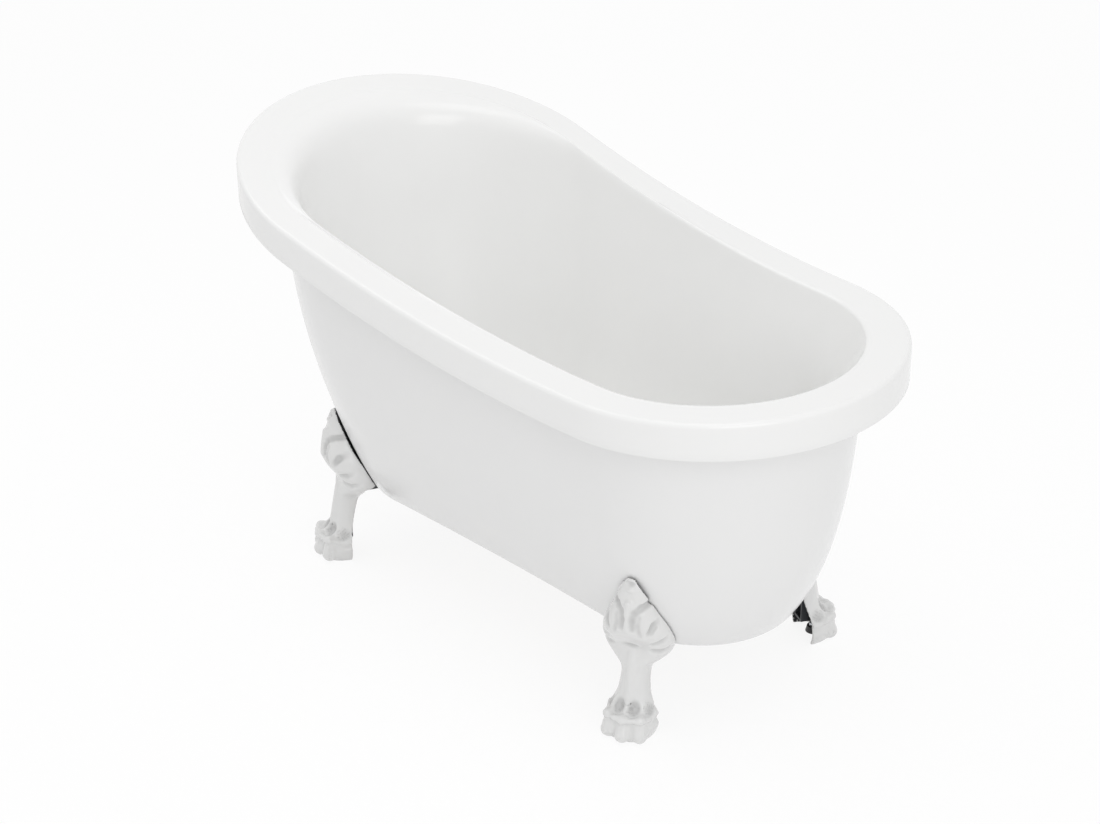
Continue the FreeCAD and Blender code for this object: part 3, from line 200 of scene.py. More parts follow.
def hem(x):
    """Height of the outer shell's lower edge at x."""
    return HEM["height"] - HEM["radius"] + np.sqrt(HEM["radius"] ** 2 - (x - HEM["crest_x"]) ** 2)


class Sections:
    """Natural cubic spline through a table of sections, read at any height."""

    def __init__(self, rows):
        rows = np.array(rows) * MM
        self.z, self.values = rows[:, 0], rows[:, 1:]
        step = np.diff(self.z)
        count = len(self.z)
        system = np.eye(count)
        right = np.zeros_like(self.values)
        slope = np.diff(self.values, axis=0) / step[:, None]
        for i in range(1, count - 1):
            system[i, i - 1:i + 2] = step[i - 1], 2 * (step[i - 1] + step[i]), step[i]
            right[i] = 6 * (slope[i] - slope[i - 1])
        self.bend = np.linalg.solve(system, right)

    def read(self, z):
        """The values at each height; past the ends they go on in a straight line."""
        z = np.atleast_1d(np.asarray(z, float))
        inside = np.clip(z, self.z[0], self.z[-1])
        i = np.clip(np.searchsorted(self.z, inside) - 1, 0, len(self.z) - 2)
        step = (self.z[i + 1] - self.z[i])[:, None]
        b = (inside - self.z[i])[:, None] / step
        a = 1 - b
        curve = a * self.values[i] + b * self.values[i + 1]
        curve += ((a ** 3 - a) * self.bend[i] + (b ** 3 - b) * self.bend[i + 1]) * step ** 2 / 6
        slope = (self.values[i + 1] - self.values[i]) / step
        slope += ((1 - 3 * a ** 2) * self.bend[i] + (3 * b ** 2 - 1) * self.bend[i + 1]) * step / 6
        return curve + slope * (z - inside)[:, None]

    def ring(self, z, outward=0.0):
        """Points round the bath at each point's own height, grown outward."""
        inset = self.read(z)
        xy = outline(
            inset[:, 0] - outward - RIM["half"],
            RIM["half"] - inset[:, 1] + outward,
            RIM["head_radius"] - inset[:, 2] + outward,
            RIM["low_radius"] - inset[:, 3] + outward,
        )
        return np.column_stack([xy, np.broadcast_to(z, (AROUND,))])


SKIRT = Sections(SKIRT_SECTIONS)
BASIN = Sections(BASIN_SECTIONS)


def rim_ring(inset, drop):
    """Points inside the rim's outline by an inset and under its crest by a drop."""
    xy = outline(
        inset - RIM["half"],
        RIM["half"] - inset,
        RIM["head_radius"] - inset,
        RIM["low_radius"] - inset,
    )
    return np.column_stack([xy, crest(xy[:, 0]) - drop])


def smoothstep(low, high, x):
    t = np.clip((x - low) / (high - low), 0, 1)
    return t * t * (3 - 2 * t)


# ------------------------------------------------------------------------------ mesh tools

def skin(name, rows, materials, split):
    """Closed rings joined row by row, the last to the first. Rows from `split` on take the second
    material."""
    points = np.concatenate(rows)
    faces, slots = [], []
    count = len(rows)
    for row in range(count):
        first = row * AROUND
        second = ((row + 1) % count) * AROUND
        for i in range(AROUND):
            j = (i + 1) % AROUND
            faces.append((first + i, first + j, second + j, second + i))
            slots.append(0 if row < split else 1)
    mesh = bpy.data.meshes.new(name)
    mesh.from_pydata(points.tolist(), [], faces)
    mesh.polygons.foreach_set("material_index", slots)
    for material in materials:
        mesh.materials.append(material)
    thing = bpy.data.objects.new(name, mesh)
    bpy.context.scene.collection.objects.link(thing)
    tidy(mesh)
    return thing


def tidy(mesh, sharp=math.radians(38)):
    """Merge doubles, face outward, smooth all but the sharp edges."""
    bm = bmesh.new()
    bm.from_mesh(mesh)
    bmesh.ops.remove_doubles(bm, verts=bm.verts, dist=0.02 * MM)
    bmesh.ops.dissolve_degenerate(bm, dist=0.01 * MM, edges=bm.edges)
    bmesh.ops.recalc_face_normals(bm, faces=bm.faces)
    for face in bm.faces:
        face.smooth = True
    for edge in bm.edges:
        edge.smooth = len(edge.link_faces) != 2 or edge.calc_face_angle(0) < sharp
    bm.to_mesh(mesh)
    bm.free()


def quarter_round(ring, radius, steps):
    """Rows of a quarter-round, from ring(inset, drop)."""
    rows = []
    for step in range(steps + 1):
        turn = math.pi / 2 * step / steps
        rows.append(ring(radius * (1 - math.cos(turn)), radius * (1 - math.sin(turn))))
    return rows


# ------------------------------------------------------------------------------- materials

def new_material(name):
    material = bpy.data.materials.new(name)
    material.use_nodes = True
    tree = material.node_tree
    shader = tree.nodes["Principled BSDF"]
    return material, tree, shader


def noise(tree, scale, detail, roughness=0.5):
    where = tree.nodes.new("ShaderNodeTexCoord")
    texture = tree.nodes.new("ShaderNodeTexNoise")
    texture.inputs["Scale"].default_value = scale
    texture.inputs["Detail"].default_value = detail
    texture.inputs["Roughness"].default_value = roughness
    tree.links.new(where.outputs["Object"], texture.inputs["Vector"])
    return texture


def ramp(tree, source, stops):
    """Colour ramp on a grey value; each stop is a place and a colour."""
    node = tree.nodes.new("ShaderNodeValToRGB")
    elements = node.color_ramp.elements
    while len(elements) < len(stops):
        elements.new(0.5)
    for element, (place, colour) in zip(elements, stops):
        element.position = place
        element.color = (*colour, 1.0)
    tree.links.new(source, node.inputs["Fac"])
    return node.outputs["Color"]


def spread(tree, source, low, high):
    """The same grey value mapped onto a range."""
    node = tree.nodes.new("ShaderNodeMapRange")
    node.inputs["To Min"].default_value = low
    node.inputs["To Max"].default_value = high
    tree.links.new(source, node.inputs["Value"])
    return node.outputs["Result"]


def bump(tree, shader, height, strength, distance):
    node = tree.nodes.new("ShaderNodeBump")
    node.inputs["Strength"].default_value = strength
    node.inputs["Distance"].default_value = distance
    tree.links.new(height, node.inputs["Height"])
    tree.links.new(node.outputs["Normal"], shader.inputs["Normal"])


def acrylic(name, tone):
    """Vacuum-formed gloss acrylic: near white, a slow waviness and fine handling marks."""
    material, tree, shader = new_material(name)
    shade = tuple(value * 0.985 for value in tone)
    clouds = noise(tree, 2.2, detail=3.0)
    tree.links.new(ramp(tree, clouds.outputs["Fac"], [(0.35, shade), (0.65, tone)]),
                   shader.inputs["Base Color"])
    marks = noise(tree, 38.0, detail=6.0, roughness=0.7)
    tree.links.new(spread(tree, marks.outputs["Fac"], 0.16, 0.3), shader.inputs["Roughness"])
    waves = noise(tree, 9.0, detail=1.5)
    bump(tree, shader, waves.outputs["Fac"], 0.05, 2.0 * MM)
    shader.inputs["Specular IOR Level"].default_value = 0.5
    shader.inputs["IOR"].default_value = 1.49
    shader.inputs["Coat Weight"].default_value = 0.25
    shader.inputs["Coat Roughness"].default_value = 0.08
    return material


def glass_fibre(name):
    """Sprayed glass fibre and resin behind the acrylic: matt, mottled, with chopped strands."""
    material, tree, shader = new_material(name)
    strands = noise(tree, 60.0, detail=8.0, roughness=0.75)
    tree.links.new(ramp(tree, strands.outputs["Fac"], [(0.3, (0.52, 0.52, 0.46)),
                                                      (0.55, (0.68, 0.68, 0.62)),
                                                      (0.75, (0.8, 0.79, 0.74))]),
                   shader.inputs["Base Color"])
    shader.inputs["Roughness"].default_value = 0.7
    bump(tree, shader, strands.outputs["Fac"], 0.6, 1.5 * MM)
    return material


def enamel(name, tone):
    """Gloss stoved paint over a casting: slight orange peel, and painted shade that greys it the
    deeper a recess lies under the plain leg.
    """
    material, tree, shader = new_material(name)
    # Painted shade: recesses of the foot are drawn greyer the deeper they lie, standing in for the
    # shade that falls there.
    recess_shade = tree.nodes.new("ShaderNodeAttribute")
    recess_shade.attribute_name = "recess_shade"
    hollows = ramp(tree, recess_shade.outputs["Fac"], [
        (0.15, tone),
        (1.0, tuple(value * 0.76 for value in tone)),
    ])
    tree.links.new(hollows, shader.inputs["Base Color"])
    peel = noise(tree, 320.0, detail=2.0)
    tree.links.new(spread(tree, peel.outputs["Fac"], 0.18, 0.3), shader.inputs["Roughness"])
    bump(tree, shader, peel.outputs["Fac"], 0.08, 0.4 * MM)
    shader.inputs["Coat Weight"].default_value = 0.3
    shader.inputs["Coat Roughness"].default_value = 0.1
    return material


def coated_steel(name, tone, roughness=0.45):
    """Powder coat: even colour with a fine grain and slight wear."""
    material, tree, shader = new_material(name)
    grain = noise(tree, 700.0, detail=3.0)
    wear = noise(tree, 14.0, detail=5.0, roughness=0.6)
    light = tuple(min(value * 1.25 + 0.01, 1) for value in tone)
    tree.links.new(ramp(tree, wear.outputs["Fac"], [(0.4, tone), (0.7, light)]),
                   shader.inputs["Base Color"])
    shader.inputs["Roughness"].default_value = roughness
    bump(tree, shader, grain.outputs["Fac"], 0.25, 0.2 * MM)
    return material


def bare_metal(name, tone, low, high, scratch=240.0, grain=0.05):
    """Plated or turned metal: roughness varies with fine marks."""
    material, tree, shader = new_material(name)
    shader.inputs["Metallic"].default_value = 1.0
    marks = noise(tree, scratch, detail=5.0, roughness=0.65)
    dull = tuple(value * 0.86 for value in tone)
    tree.links.new(ramp(tree, marks.outputs["Fac"], [(0.35, dull), (0.65, tone)]),
                   shader.inputs["Base Color"])
    tree.links.new(spread(tree, marks.outputs["Fac"], low, high), shader.inputs["Roughness"])
    bump(tree, shader, marks.outputs["Fac"], grain, 0.1 * MM)
    return material


def moulded_plastic(name, tone, roughness):
    material, tree, shader = new_material(name)
    texture = noise(tree, 420.0, detail=3.0)
    dark = tuple(value * 0.93 for value in tone)
    tree.links.new(ramp(tree, texture.outputs["Fac"], [(0.35, dark), (0.65, tone)]),
                   shader.inputs["Base Color"])
    shader.inputs["Roughness"].default_value = roughness
    bump(tree, shader, texture.outputs["Fac"], 0.15, 0.15 * MM)
    return material


def plywood(name):
    """Sealed birch board: long grain along the bath, darker pores."""
    material, tree, shader = new_material(name)
    where = tree.nodes.new("ShaderNodeTexCoord")
    stretch = tree.nodes.new("ShaderNodeMapping")
    stretch.inputs["Scale"].default_value = (1.5, 26.0, 60.0)
    tree.links.new(where.outputs["Object"], stretch.inputs["Vector"])
    grain = tree.nodes.new("ShaderNodeTexNoise")
    grain.inputs["Scale"].default_value = 3.0
    grain.inputs["Detail"].default_value = 8.0
    grain.inputs["Roughness"].default_value = 0.65
    grain.inputs["Distortion"].default_value = 0.6
    tree.links.new(stretch.outputs["Vector"], grain.inputs["Vector"])
    tree.links.new(ramp(tree, grain.outputs["Fac"], [(0.3, (0.42, 0.28, 0.16)),
                                                    (0.5, (0.62, 0.46, 0.3)),
                                                    (0.7, (0.74, 0.6, 0.43))]),
                   shader.inputs["Base Color"])
    shader.inputs["Roughness"].default_value = 0.55
    bump(tree, shader, grain.outputs["Fac"], 0.3, 0.4 * MM)
    return material


# The liner and the skirt are one acrylic drawn in two tones: the liner's lighter copy is painted
# light on the basin and rim, the skirt's darker copy is painted shade on the outer wall.
LIT_LINER_WHITE = (0.965, 0.965, 0.96)
MATERIALS = {
    "bath_acrylic": acrylic("bath_acrylic", LIT_LINER_WHITE),
    # Darker copy of the liner's acrylic: painted shade on the outer wall.
    "skirt_acrylic": acrylic("skirt_acrylic", (0.92, 0.92, 0.918)),
    "fibre": glass_fibre("glass_fibre"),
    "foot_enamel": enamel("foot_enamel", (0.84, 0.84, 0.835)),
    "leg_steel": coated_steel("leg_steel", (0.035, 0.037, 0.042)),
    "frame_steel": coated_steel("frame_steel", (0.3, 0.31, 0.32), 0.4),
    "zinc_steel": bare_metal("zinc_steel", (0.62, 0.63, 0.65), 0.25, 0.45),
    "board_wood": plywood("board_wood"),
    "bright_chrome": bare_metal("bright_chrome", (0.78, 0.79, 0.8), 0.04, 0.1, 60.0, 0.01),
    "cartridge_brass": bare_metal("cartridge_brass", (0.75, 0.6, 0.32), 0.2, 0.4),
    "seal_rubber": moulded_plastic("seal_rubber", (0.03, 0.03, 0.032), 0.75),
    "waste_plastic": moulded_plastic("waste_plastic", (0.72, 0.72, 0.7), 0.4),
    "hose_plastic": moulded_plastic("hose_plastic", (0.22, 0.225, 0.23), 0.45),
    "pad_plastic": moulded_plastic("pad_plastic", (0.018, 0.018, 0.02), 0.35),
    # Dark finish of the casting's unpainted inside; the faces in the gap to the shell use it too,
    # as painted shade.
    "bare_casting": coated_steel("bare_casting", (0.03, 0.03, 0.033), 0.7),
}


# ---------------------------------------------------------------------------- inner shell

def bath_liner():
    """Fascia, rounded rim, rolled backrest, basin and the glass fibre behind them."""
    edge, wall, fascia = RIM["edge"], RIM["wall"], RIM["fascia"]
    lip = FASCIA_LIP
    rows = [rim_ring(wall, fascia), rim_ring(lip, fascia)]
    rows += [rim_ring(lip * 0.3, fascia - lip * 0.3), rim_ring(0.0, fascia - lip)]
    for share in (0.75, 0.5, 0.3):
        rows.append(rim_ring(0.0, edge + (fascia - edge - lip) * share))
    rows += quarter_round(rim_ring, edge, RIM_STEPS)
    # how far each point belongs to the raised end, where the backrest rolls out of the rim
    outer = rim_ring(0.0, 0.0)
    head = smoothstep(*ROLL_FADE, outer[:, 0])
    roll = (ROLL["drop"] + ROLL["drop_at_head"] * head) * MM
    flat_end = RIM["flat"] - (ROLL["width"] + ROLL["width_at_head"] * head) * MM
    for share in (0.2, 0.45, 0.7, 0.9):
        rows.append(rim_ring(edge + (RIM["flat"] - edge - SHOULDER) * share, 0.0))
    start = rim_ring_each(flat_end)
    base_z = crest(start[:, 0]) - roll
    wall_point = BASIN.ring(base_z)
    below = BASIN.ring(base_z - 2.0 * MM)
    climb = (crest(start[:, 0]) - wall_point[:, 2]) / (wall_point[:, 2] - below[:, 2])
    corner = wall_point + (wall_point - below) * climb[:, None]
    for share in np.linspace(0, 1, ROLL_STEPS):
        rows.append((1 - share) ** 2 * start + 2 * share * (1 - share) * corner
                    + share ** 2 * wall_point)
    for step in range(1, BASIN_STEPS + 1):
        share = (step / BASIN_STEPS) ** 0.92
        rows.append(BASIN.ring(base_z + (FLOOR - base_z) * share))
    rows += floor_rows(FLOOR, 0.0)
    split = len(rows) - 1
    rows += floor_rows(FLOOR - FLOOR_WALL, wall)[::-1]
    for step in range(12, -1, -1):
        share = step / 12
        rows.append(BASIN.ring(base_z + (FLOOR - FLOOR_WALL - base_z) * share, wall))
    rows.append(rim_ring(RIM["flat"] - SHOULDER, wall * 1.5))
    rows.append(rim_ring(wall * 2, wall))
    rows.append(rim_ring(wall, wall * 2))
    return skin("bath_liner", rows, [MATERIALS["bath_acrylic"], MATERIALS["fibre"]], split)


def rim_ring_each(inset):
    """Rim points with an inset of their own for each station."""
    xy = outline(inset - RIM["half"], RIM["half"] - inset, RIM["head_radius"] - inset,
                 RIM["low_radius"] - inset)
    return np.column_stack([xy, crest(xy[:, 0])])


def floor_rows(z, outward):
    """The flat floor, closing in to the line between the two end centres."""
    inset = BASIN.read(FLOOR)[0]
    head_x = inset[0] - RIM["half"] - outward
    low_x = RIM["half"] - inset[1] + outward
    r1 = RIM["head_radius"] - inset[2] + outward
    r2 = RIM["low_radius"] - inset[3] + outward
    rows = []
    for share in (0.75, 0.5, 0.25, 0.0):
        drawn = 1 - share
        xy = outline(head_x + r1 * drawn, low_x - r2 * drawn, r1 * share, r2 * share)
        rows.append(np.column_stack([xy, np.full(AROUND, z)]))
    return rows


def drill(thing, tools):
    """Cut holes through a closed mesh and apply them."""
    for tool in tools:
        cutter = thing.modifiers.new("hole", "BOOLEAN")
        cutter.operation = "DIFFERENCE"
        cutter.solver = "EXACT"
        cutter.object = tool
    bpy.context.view_layer.update()
    graph = bpy.context.evaluated_depsgraph_get()
    mesh = bpy.data.meshes.new_from_object(thing.evaluated_get(graph))
    thing.modifiers.clear()
    thing.data = mesh
    for tool in tools:
        bpy.data.objects.remove(tool)
    tidy(mesh)


def drill_bit(name, radius, centre, axis, length):
    mesh = bpy.data.meshes.new(name)
    bm = bmesh.new()
    bmesh.ops.create_cone(bm, cap_ends=True, segments=64, radius1=radius, radius2=radius,
                          depth=length)
    turn = Vector((0, 0, 1)).rotation_difference(Vector(axis)).to_matrix().to_4x4()
    bmesh.ops.transform(bm, matrix=Matrix.Translation(centre) @ turn, verts=bm.verts)
    bm.to_mesh(mesh)
    bm.free()
    thing = bpy.data.objects.new(name, mesh)
    bpy.context.scene.collection.objects.link(thing)
    return thing


# ---------------------------------------------------------------------------- outer shell

def bath_skirt():
    """Soffit under the rim, the long curved wall and the hem that turns under."""
    gap = RIM["wall"] + GLUE_GAP
    soffit_low, soffit_high = RIM["fascia"] - SOFFIT["low"], RIM["fascia"] - SOFFIT["high"]
    # a point's height depends on its place along the bath and the other way round, so both are
    # found in a few rounds from a rough height
    top_z = np.full(AROUND, 700.0 * MM)
    for _ in range(3):
        top_z = crest(SKIRT.ring(top_z)[:, 0]) - soffit_low
    low_z = np.full(AROUND, HEM["height"])
    for _ in range(4):
        low_z = hem(SKIRT.ring(low_z)[:, 0])

    def level(outward, lift):
        return SKIRT.ring(low_z + lift, outward)

    rows = [rim_ring(gap, soffit_low)]
    fillet = SKIRT_FILLET
    rows.append(SKIRT.ring(top_z, fillet * 2))
    for turn in (0.0, 0.3, 0.6, 0.85, 1.0):
        angle = turn * math.pi / 2
        rows.append(SKIRT.ring(top_z - fillet * (1 - math.cos(angle)),
                               fillet * (1 - math.sin(angle))))
    for step in range(1, SKIRT_STEPS + 1):
        share = step / SKIRT_STEPS
        rows.append(SKIRT.ring(top_z - fillet + (low_z + HEM_ROUND - top_z + fillet) * share))
    for turn in (0.25, 0.5, 0.75, 1.0):
        angle = turn * math.pi / 2
        rows.append(level(-HEM_ROUND * (1 - math.cos(angle)),
                          HEM_ROUND * (1 - math.sin(angle))))
    rows.append(level(-(HEM_WIDTH + HEM_ROUND) / 2, 0.0))
    split = len(rows)
    rows.append(level(-HEM_WIDTH, 0.0))
    rows.append(level(-HEM_WIDTH, SKIRT_WALL))
    rows.append(level(-SKIRT_WALL - HEM_ROUND, SKIRT_WALL))
    rows.append(level(-SKIRT_WALL, SKIRT_WALL + HEM_ROUND))
    for step in range(1, 9):
        share = step / 9
        rows.append(SKIRT.ring(low_z + (top_z - low_z) * share, -SKIRT_WALL))
    rows.append(SKIRT.ring(top_z + (soffit_low - soffit_high), -SKIRT_WALL))
    rows.append(rim_ring(gap, soffit_high))
    return skin("bath_skirt", rows, [MATERIALS["skirt_acrylic"], MATERIALS["fibre"]], split)


# ------------------------------------------------------------------------------- claw feet

# The right-hand feet, in millimetres: place along the bath, direction of the toes, what the gap
# to the shell gains towards the top, and the height that it starts to open from.
FOOT_PLACES = {
    "head": {"x": -423.0, "heading": math.radians(247.0), "gap": 3.6, "gap_from": 215.0},
    "low": {"x": 456.0, "heading": math.radians(-67.0), "gap": 4.0, "gap_from": 268.0},
}
FOOT_OFFSET = 260.0
FOOT_STEP = 2.4
FOOT_BOX = ((-120.0, 44.0), (-77.0, 77.0), (-4.8, 336.0))
LEAST_GAP = 1.4
GAP_OPENS_OVER = 45.0
# It closes again between these two heights, at the tip.
GAP_CLOSES = (342.0, 315.0)

# Sections of the leg in millimetres: height, middle towards the toes, half depth, half width.
LEG_SECTIONS = [
    (0.0, -35.0, 51.0, 43.0),
    (12.0, -35.0, 56.0, 48.0),
    (26.0, -35.0, 57.0, 50.5),
    (36.0, -35.0, 54.0, 48.0),
    (48.0, -36.0, 53.0, 47.0),
    (62.0, -38.0, 46.0, 41.0),
    (78.0, -43.0, 39.0, 33.0),
    (100.0, -48.0, 37.5, 28.5),
    (126.0, -56.0, 40.0, 27.5),
    (140.0, -58.0, 40.0, 33.0),
    (152.0, -60.0, 40.0, 46.0),
    (163.0, -62.0, 39.5, 58.0),
    (177.0, -61.0, 39.0, 66.0),
    (196.0, -59.0, 46.0, 68.0),
    (216.0, -56.0, 57.0, 65.0),
    (236.0, -52.0, 59.0, 58.0),
    (256.0, -50.0, 56.0, 48.0),
    (276.0, -47.0, 47.0, 39.0),
    (300.0, -42.0, 33.0, 30.0),
    (318.0, -38.0, 26.0, 20.0),
    (330.0, -34.0, 18.0, 10.0),
]
LEG_ROUNDNESS = 2.35
LEG_WALL = 5.0
LEAST_WALL = 3.0
LEG = Sections(LEG_SECTIONS)
# Depth of a recess under the plain leg at which its painted shade is darkest.
RECESS_SHADE_DEPTH = 5.0
FOOT_SHARP = math.radians(60)

# The back of the casting: straight to the top of the sole, then leaning away up to the knee.
BACK = {"place": -35.0, "sole": 48.0, "lean": 0.25, "knee": 166.0}
# Any distance well inside, so nothing is cut there.
NO_CUT = -9.0
# The hollow ends here towards the toes and towards the top, and leaves a boss for the bolts.
HOLLOW = {"front": 8.0, "roof": 167.0}
BOSS = {"back": -29.0, "half_width": 15.0, "middle": 111.0, "half_height": 27.0}

# Places across the paw of the middle and side toes, and how far each and its knuckle reach.
TOES = ((0.0, 19.0), (30.5, 9.5))
KNUCKLES = ((0.0, 19.0), (30.5, 8.5))
TOE_CLEFTS = (((27.0, 15.2, 42.0), (30.0, 15.2, 6.0)), ((8.0, 44.0, 40.0), (12.0, 46.0, 6.0)))
RIDGE = [(-33.0, 44.0, 47.0), (-8.0, 42.0, 49.0), (10.0, 32.0, 51.0), (20.0, 14.0, 53.0),
         (22.5, 0.0, 52.0)]

# Grooves of the leaf on the knee, as places across and up its face; the other side mirrors them.
LEAF_GROOVES = [
    (6.0, [(37.0, 284.0), (24.0, 279.0), (14.0, 270.0), (10.5, 256.0), (11.0, 238.0)]),
    (7.0, [(57.0, 254.0), (47.0, 243.0), (42.0, 230.0)]),
    (3.6, [(24.0, 262.0), (21.0, 246.0), (26.0, 224.0)]),
    (5.0, [(71.0, 212.0), (56.0, 204.0), (43.0, 200.0)]),
    (5.0, [(70.0, 184.0), (54.0, 179.0), (40.0, 181.0)]),
]


def blend_union(first, second, width):
    share = np.clip(0.5 + 0.5 * (second - first) / width, 0, 1)
    return second * (1 - share) + first * share - width * share * (1 - share)


def carve(solid, tool, width):
    return -blend_union(-solid, tool, width)


def ball(place, centre, size):
    """Roughly the distance to an ellipsoid."""
    near = sum(((p - c) / r) ** 2 for p, c, r in zip(place, centre, size)) ** 0.5
    far = sum(((p - c) / r ** 2) ** 2 for p, c, r in zip(place, centre, size)) ** 0.5
    return near * (near - 1) / np.maximum(far, 1e-6)


def stick(place, start, end, first_radius, last_radius):
    """Distance to a rod with round ends and a radius at each."""
    line = [b - a for a, b in zip(start, end)]
    length = sum(value ** 2 for value in line)
    along = sum((p - a) * value for p, a, value in zip(place, start, line)) / length
    along = np.clip(along, 0, 1)
    away = sum((p - a - value * along) ** 2 for p, a, value in zip(place, start, line)) ** 0.5
    return away - first_radius - (last_radius - first_radius) * along


def leg_shape(place, wall=0.0):
    """Roughly the distance to the plain leg, before its carving. It is open at the bottom."""
    u, v, z = place
    middle, depth, width = (LEG.read(z.ravel() * MM)[:, i] / MM for i in range(3))
    inside = ((np.abs(u - middle) / (depth - wall)) ** LEG_ROUNDNESS
              + (np.abs(v) / (width - wall)) ** LEG_ROUNDNESS) ** (1 / LEG_ROUNDNESS)
    return np.maximum((inside - 1) * np.minimum(depth, width) * 0.9, z - LEG_SECTIONS[-1][0])


def leg_face(v, z):
    """How far the plain leg reaches towards the toes at a place across and up."""
    middle, depth, width = LEG.read(z * MM)[0] / MM
    share = min(abs(v) / width, 0.98)
    return middle + depth * (1 - share ** LEG_ROUNDNESS) ** (1 / LEG_ROUNDNESS)


def paw(place, solid):
    """Three toes under a ridge of knuckles, with hollows over, under and beside it."""
    u, v, z = place
    mirrored = (u, np.abs(v), z)
    for across, reach in TOES:
        toe = stick(mirrored, (2.0, across * 0.86, 45.0), (reach, across, 17.0), 14.0, 15.2)
        solid = blend_union(solid, toe, 3.5)
    for start, end in zip(RIDGE, RIDGE[1:]):
        solid = blend_union(solid, stick(mirrored, start, end, 6.5, 6.5), 4.0)
    for across, reach in KNUCKLES:
        solid = blend_union(solid, ball(mirrored, (reach, across, 51.0), (12.5, 11.5, 8.5)), 4.0)
        hollow = ball(mirrored, (reach + 20.0, across * 1.1, 37.5), (8.5, 8.0, 6.5))
        solid = carve(solid, hollow, 4.0)
    # hollows over the ridge, in front and at the side, then a groove under it and the clefts
    solid = carve(solid, ball(mirrored, (9.0, 17.0, 71.0), (18.5, 15.0, 16.0)), 7.0)
    solid = carve(solid, ball(mirrored, (-13.0, 50.0, 68.0), (26.0, 16.0, 22.0)), 8.0)
    solid = carve(solid, stick(mirrored, (-36.0, 54.0, 35.0), (2.0, 50.0, 35.0), 6.0, 5.0), 4.0)
    for start, end in TOE_CLEFTS:
        solid = carve(solid, stick(mirrored, start, end, 3.0, 4.0), 3.0)
    return solid


def knee(place, solid):
    """Leaf over the knee: a curled tip, a middle rib, grooves and a hollow below."""
    u, v, z = place
    mirrored = (u, np.abs(v), z)
    solid = blend_union(solid, stick(place, (-9.0, 0.0, 82.0), (-26.0, 0.0, 168.0), 5.0, 6.0), 8.0)
    solid = carve(solid, ball(place, (-13.0, 0.0, 187.0), (11.0, 17.0, 8.0)), 5.0)
    solid = blend_union(solid, stick(place, (-2.0, 0.0, 286.0), (1.0, 0.0, 238.0), 5.0, 7.0), 7.0)
    solid = blend_union(solid, stick(mirrored, (-12.0, 0.0, 310.0), (-18.0, 15.0, 307.0), 5.5, 4.0),
                        2.0)
    solid = carve(solid, ball(place, (-9.0, 0.0, 321.5), (10.0, 12.0, 5.5)), 2.0)
    for radius, route in LEAF_GROOVES:
        points = [(leg_face(across, up) + 0.5, across, up) for across, up in route]
        for start, end in zip(points, points[1:]):
            solid = carve(solid, stick(mirrored, start, end, radius, radius * 0.85), 5.0)
    return solid


def skirt_distance(x, y, z):
    """Distance outside the outer shell, level by level, in millimetres."""
    inset = SKIRT.read(z.ravel() * MM) / MM
    r1 = RIM["head_radius"] / MM - inset[:, 2]
    r2 = RIM["low_radius"] / MM - inset[:, 3]
    c1 = inset[:, 0] + r1 - RIM["half"] / MM
    span = RIM["half"] / MM - inset[:, 1] - r2 - c1
    lean = (r1 - r2) / span
    level = np.sqrt(1 - lean ** 2)
    across, along = np.abs(y), x - c1
    key = level * along - lean * across
    side = across * level + along * lean - r1
    return np.where(key < 0, np.hypot(across, along) - r1,
                    np.where(key > level * span, np.hypot(across, along - span) - r2, side))


def foot_shape(end):
    """Fields of one right-hand foot on a grid: the casting, its unpainted inside together with the
    faces in the gap to the shell, which are drawn dark as painted shade, the uncarved leg.
    """
    spot = FOOT_PLACES[end]
    axes = [np.arange(low, high, FOOT_STEP) for low, high in FOOT_BOX]
    u = axes[0][:, None, None]
    v = axes[1][None, :, None]
    z = axes[2][None, None, :]
    place = (u, v, z)
    plain = leg_shape(place)
    solid = knee(place, paw(place, plain))
    hollow = np.maximum(leg_shape(place, LEG_WALL), solid + LEAST_WALL)
    solid = np.maximum(solid, -z)
    cosine, sine = math.cos(spot["heading"]), math.sin(spot["heading"])
    x = spot["x"] + u * cosine - v * sine
    y = u * sine + v * cosine - FOOT_OFFSET
    opening = smoothstep(spot["gap_from"], spot["gap_from"] + GAP_OPENS_OVER, z)
    gap = LEAST_GAP + spot["gap"] * opening * smoothstep(*GAP_CLOSES, z)
    behind = gap - skirt_distance(x, y, z)
    solid = np.maximum(solid, behind)
    leaning = BACK["place"] - BACK["lean"] * (z - BACK["sole"])
    back = np.where(z < BACK["sole"], BACK["place"], leaning)
    solid = np.maximum(solid, np.where(z < BACK["knee"], back - u, NO_CUT))
    boss = np.maximum(BOSS["back"] - u, np.abs(v) - BOSS["half_width"])
    boss = np.maximum(boss, np.abs(z - BOSS["middle"]) - BOSS["half_height"])
    hollow = np.maximum(np.maximum(hollow, u - HOLLOW["front"]), z - HOLLOW["roof"])
    hollow = np.maximum(hollow, -boss)
    # The dark finish goes on the casting's unpainted inside, which is its own colour, and on the
    # faces cut in the gap to the shell, where it is painted shade.
    bare_inside_and_gap_shade = np.minimum(np.abs(hollow), np.abs(behind))
    return axes, np.maximum(solid, -hollow), bare_inside_and_gap_shade, plain


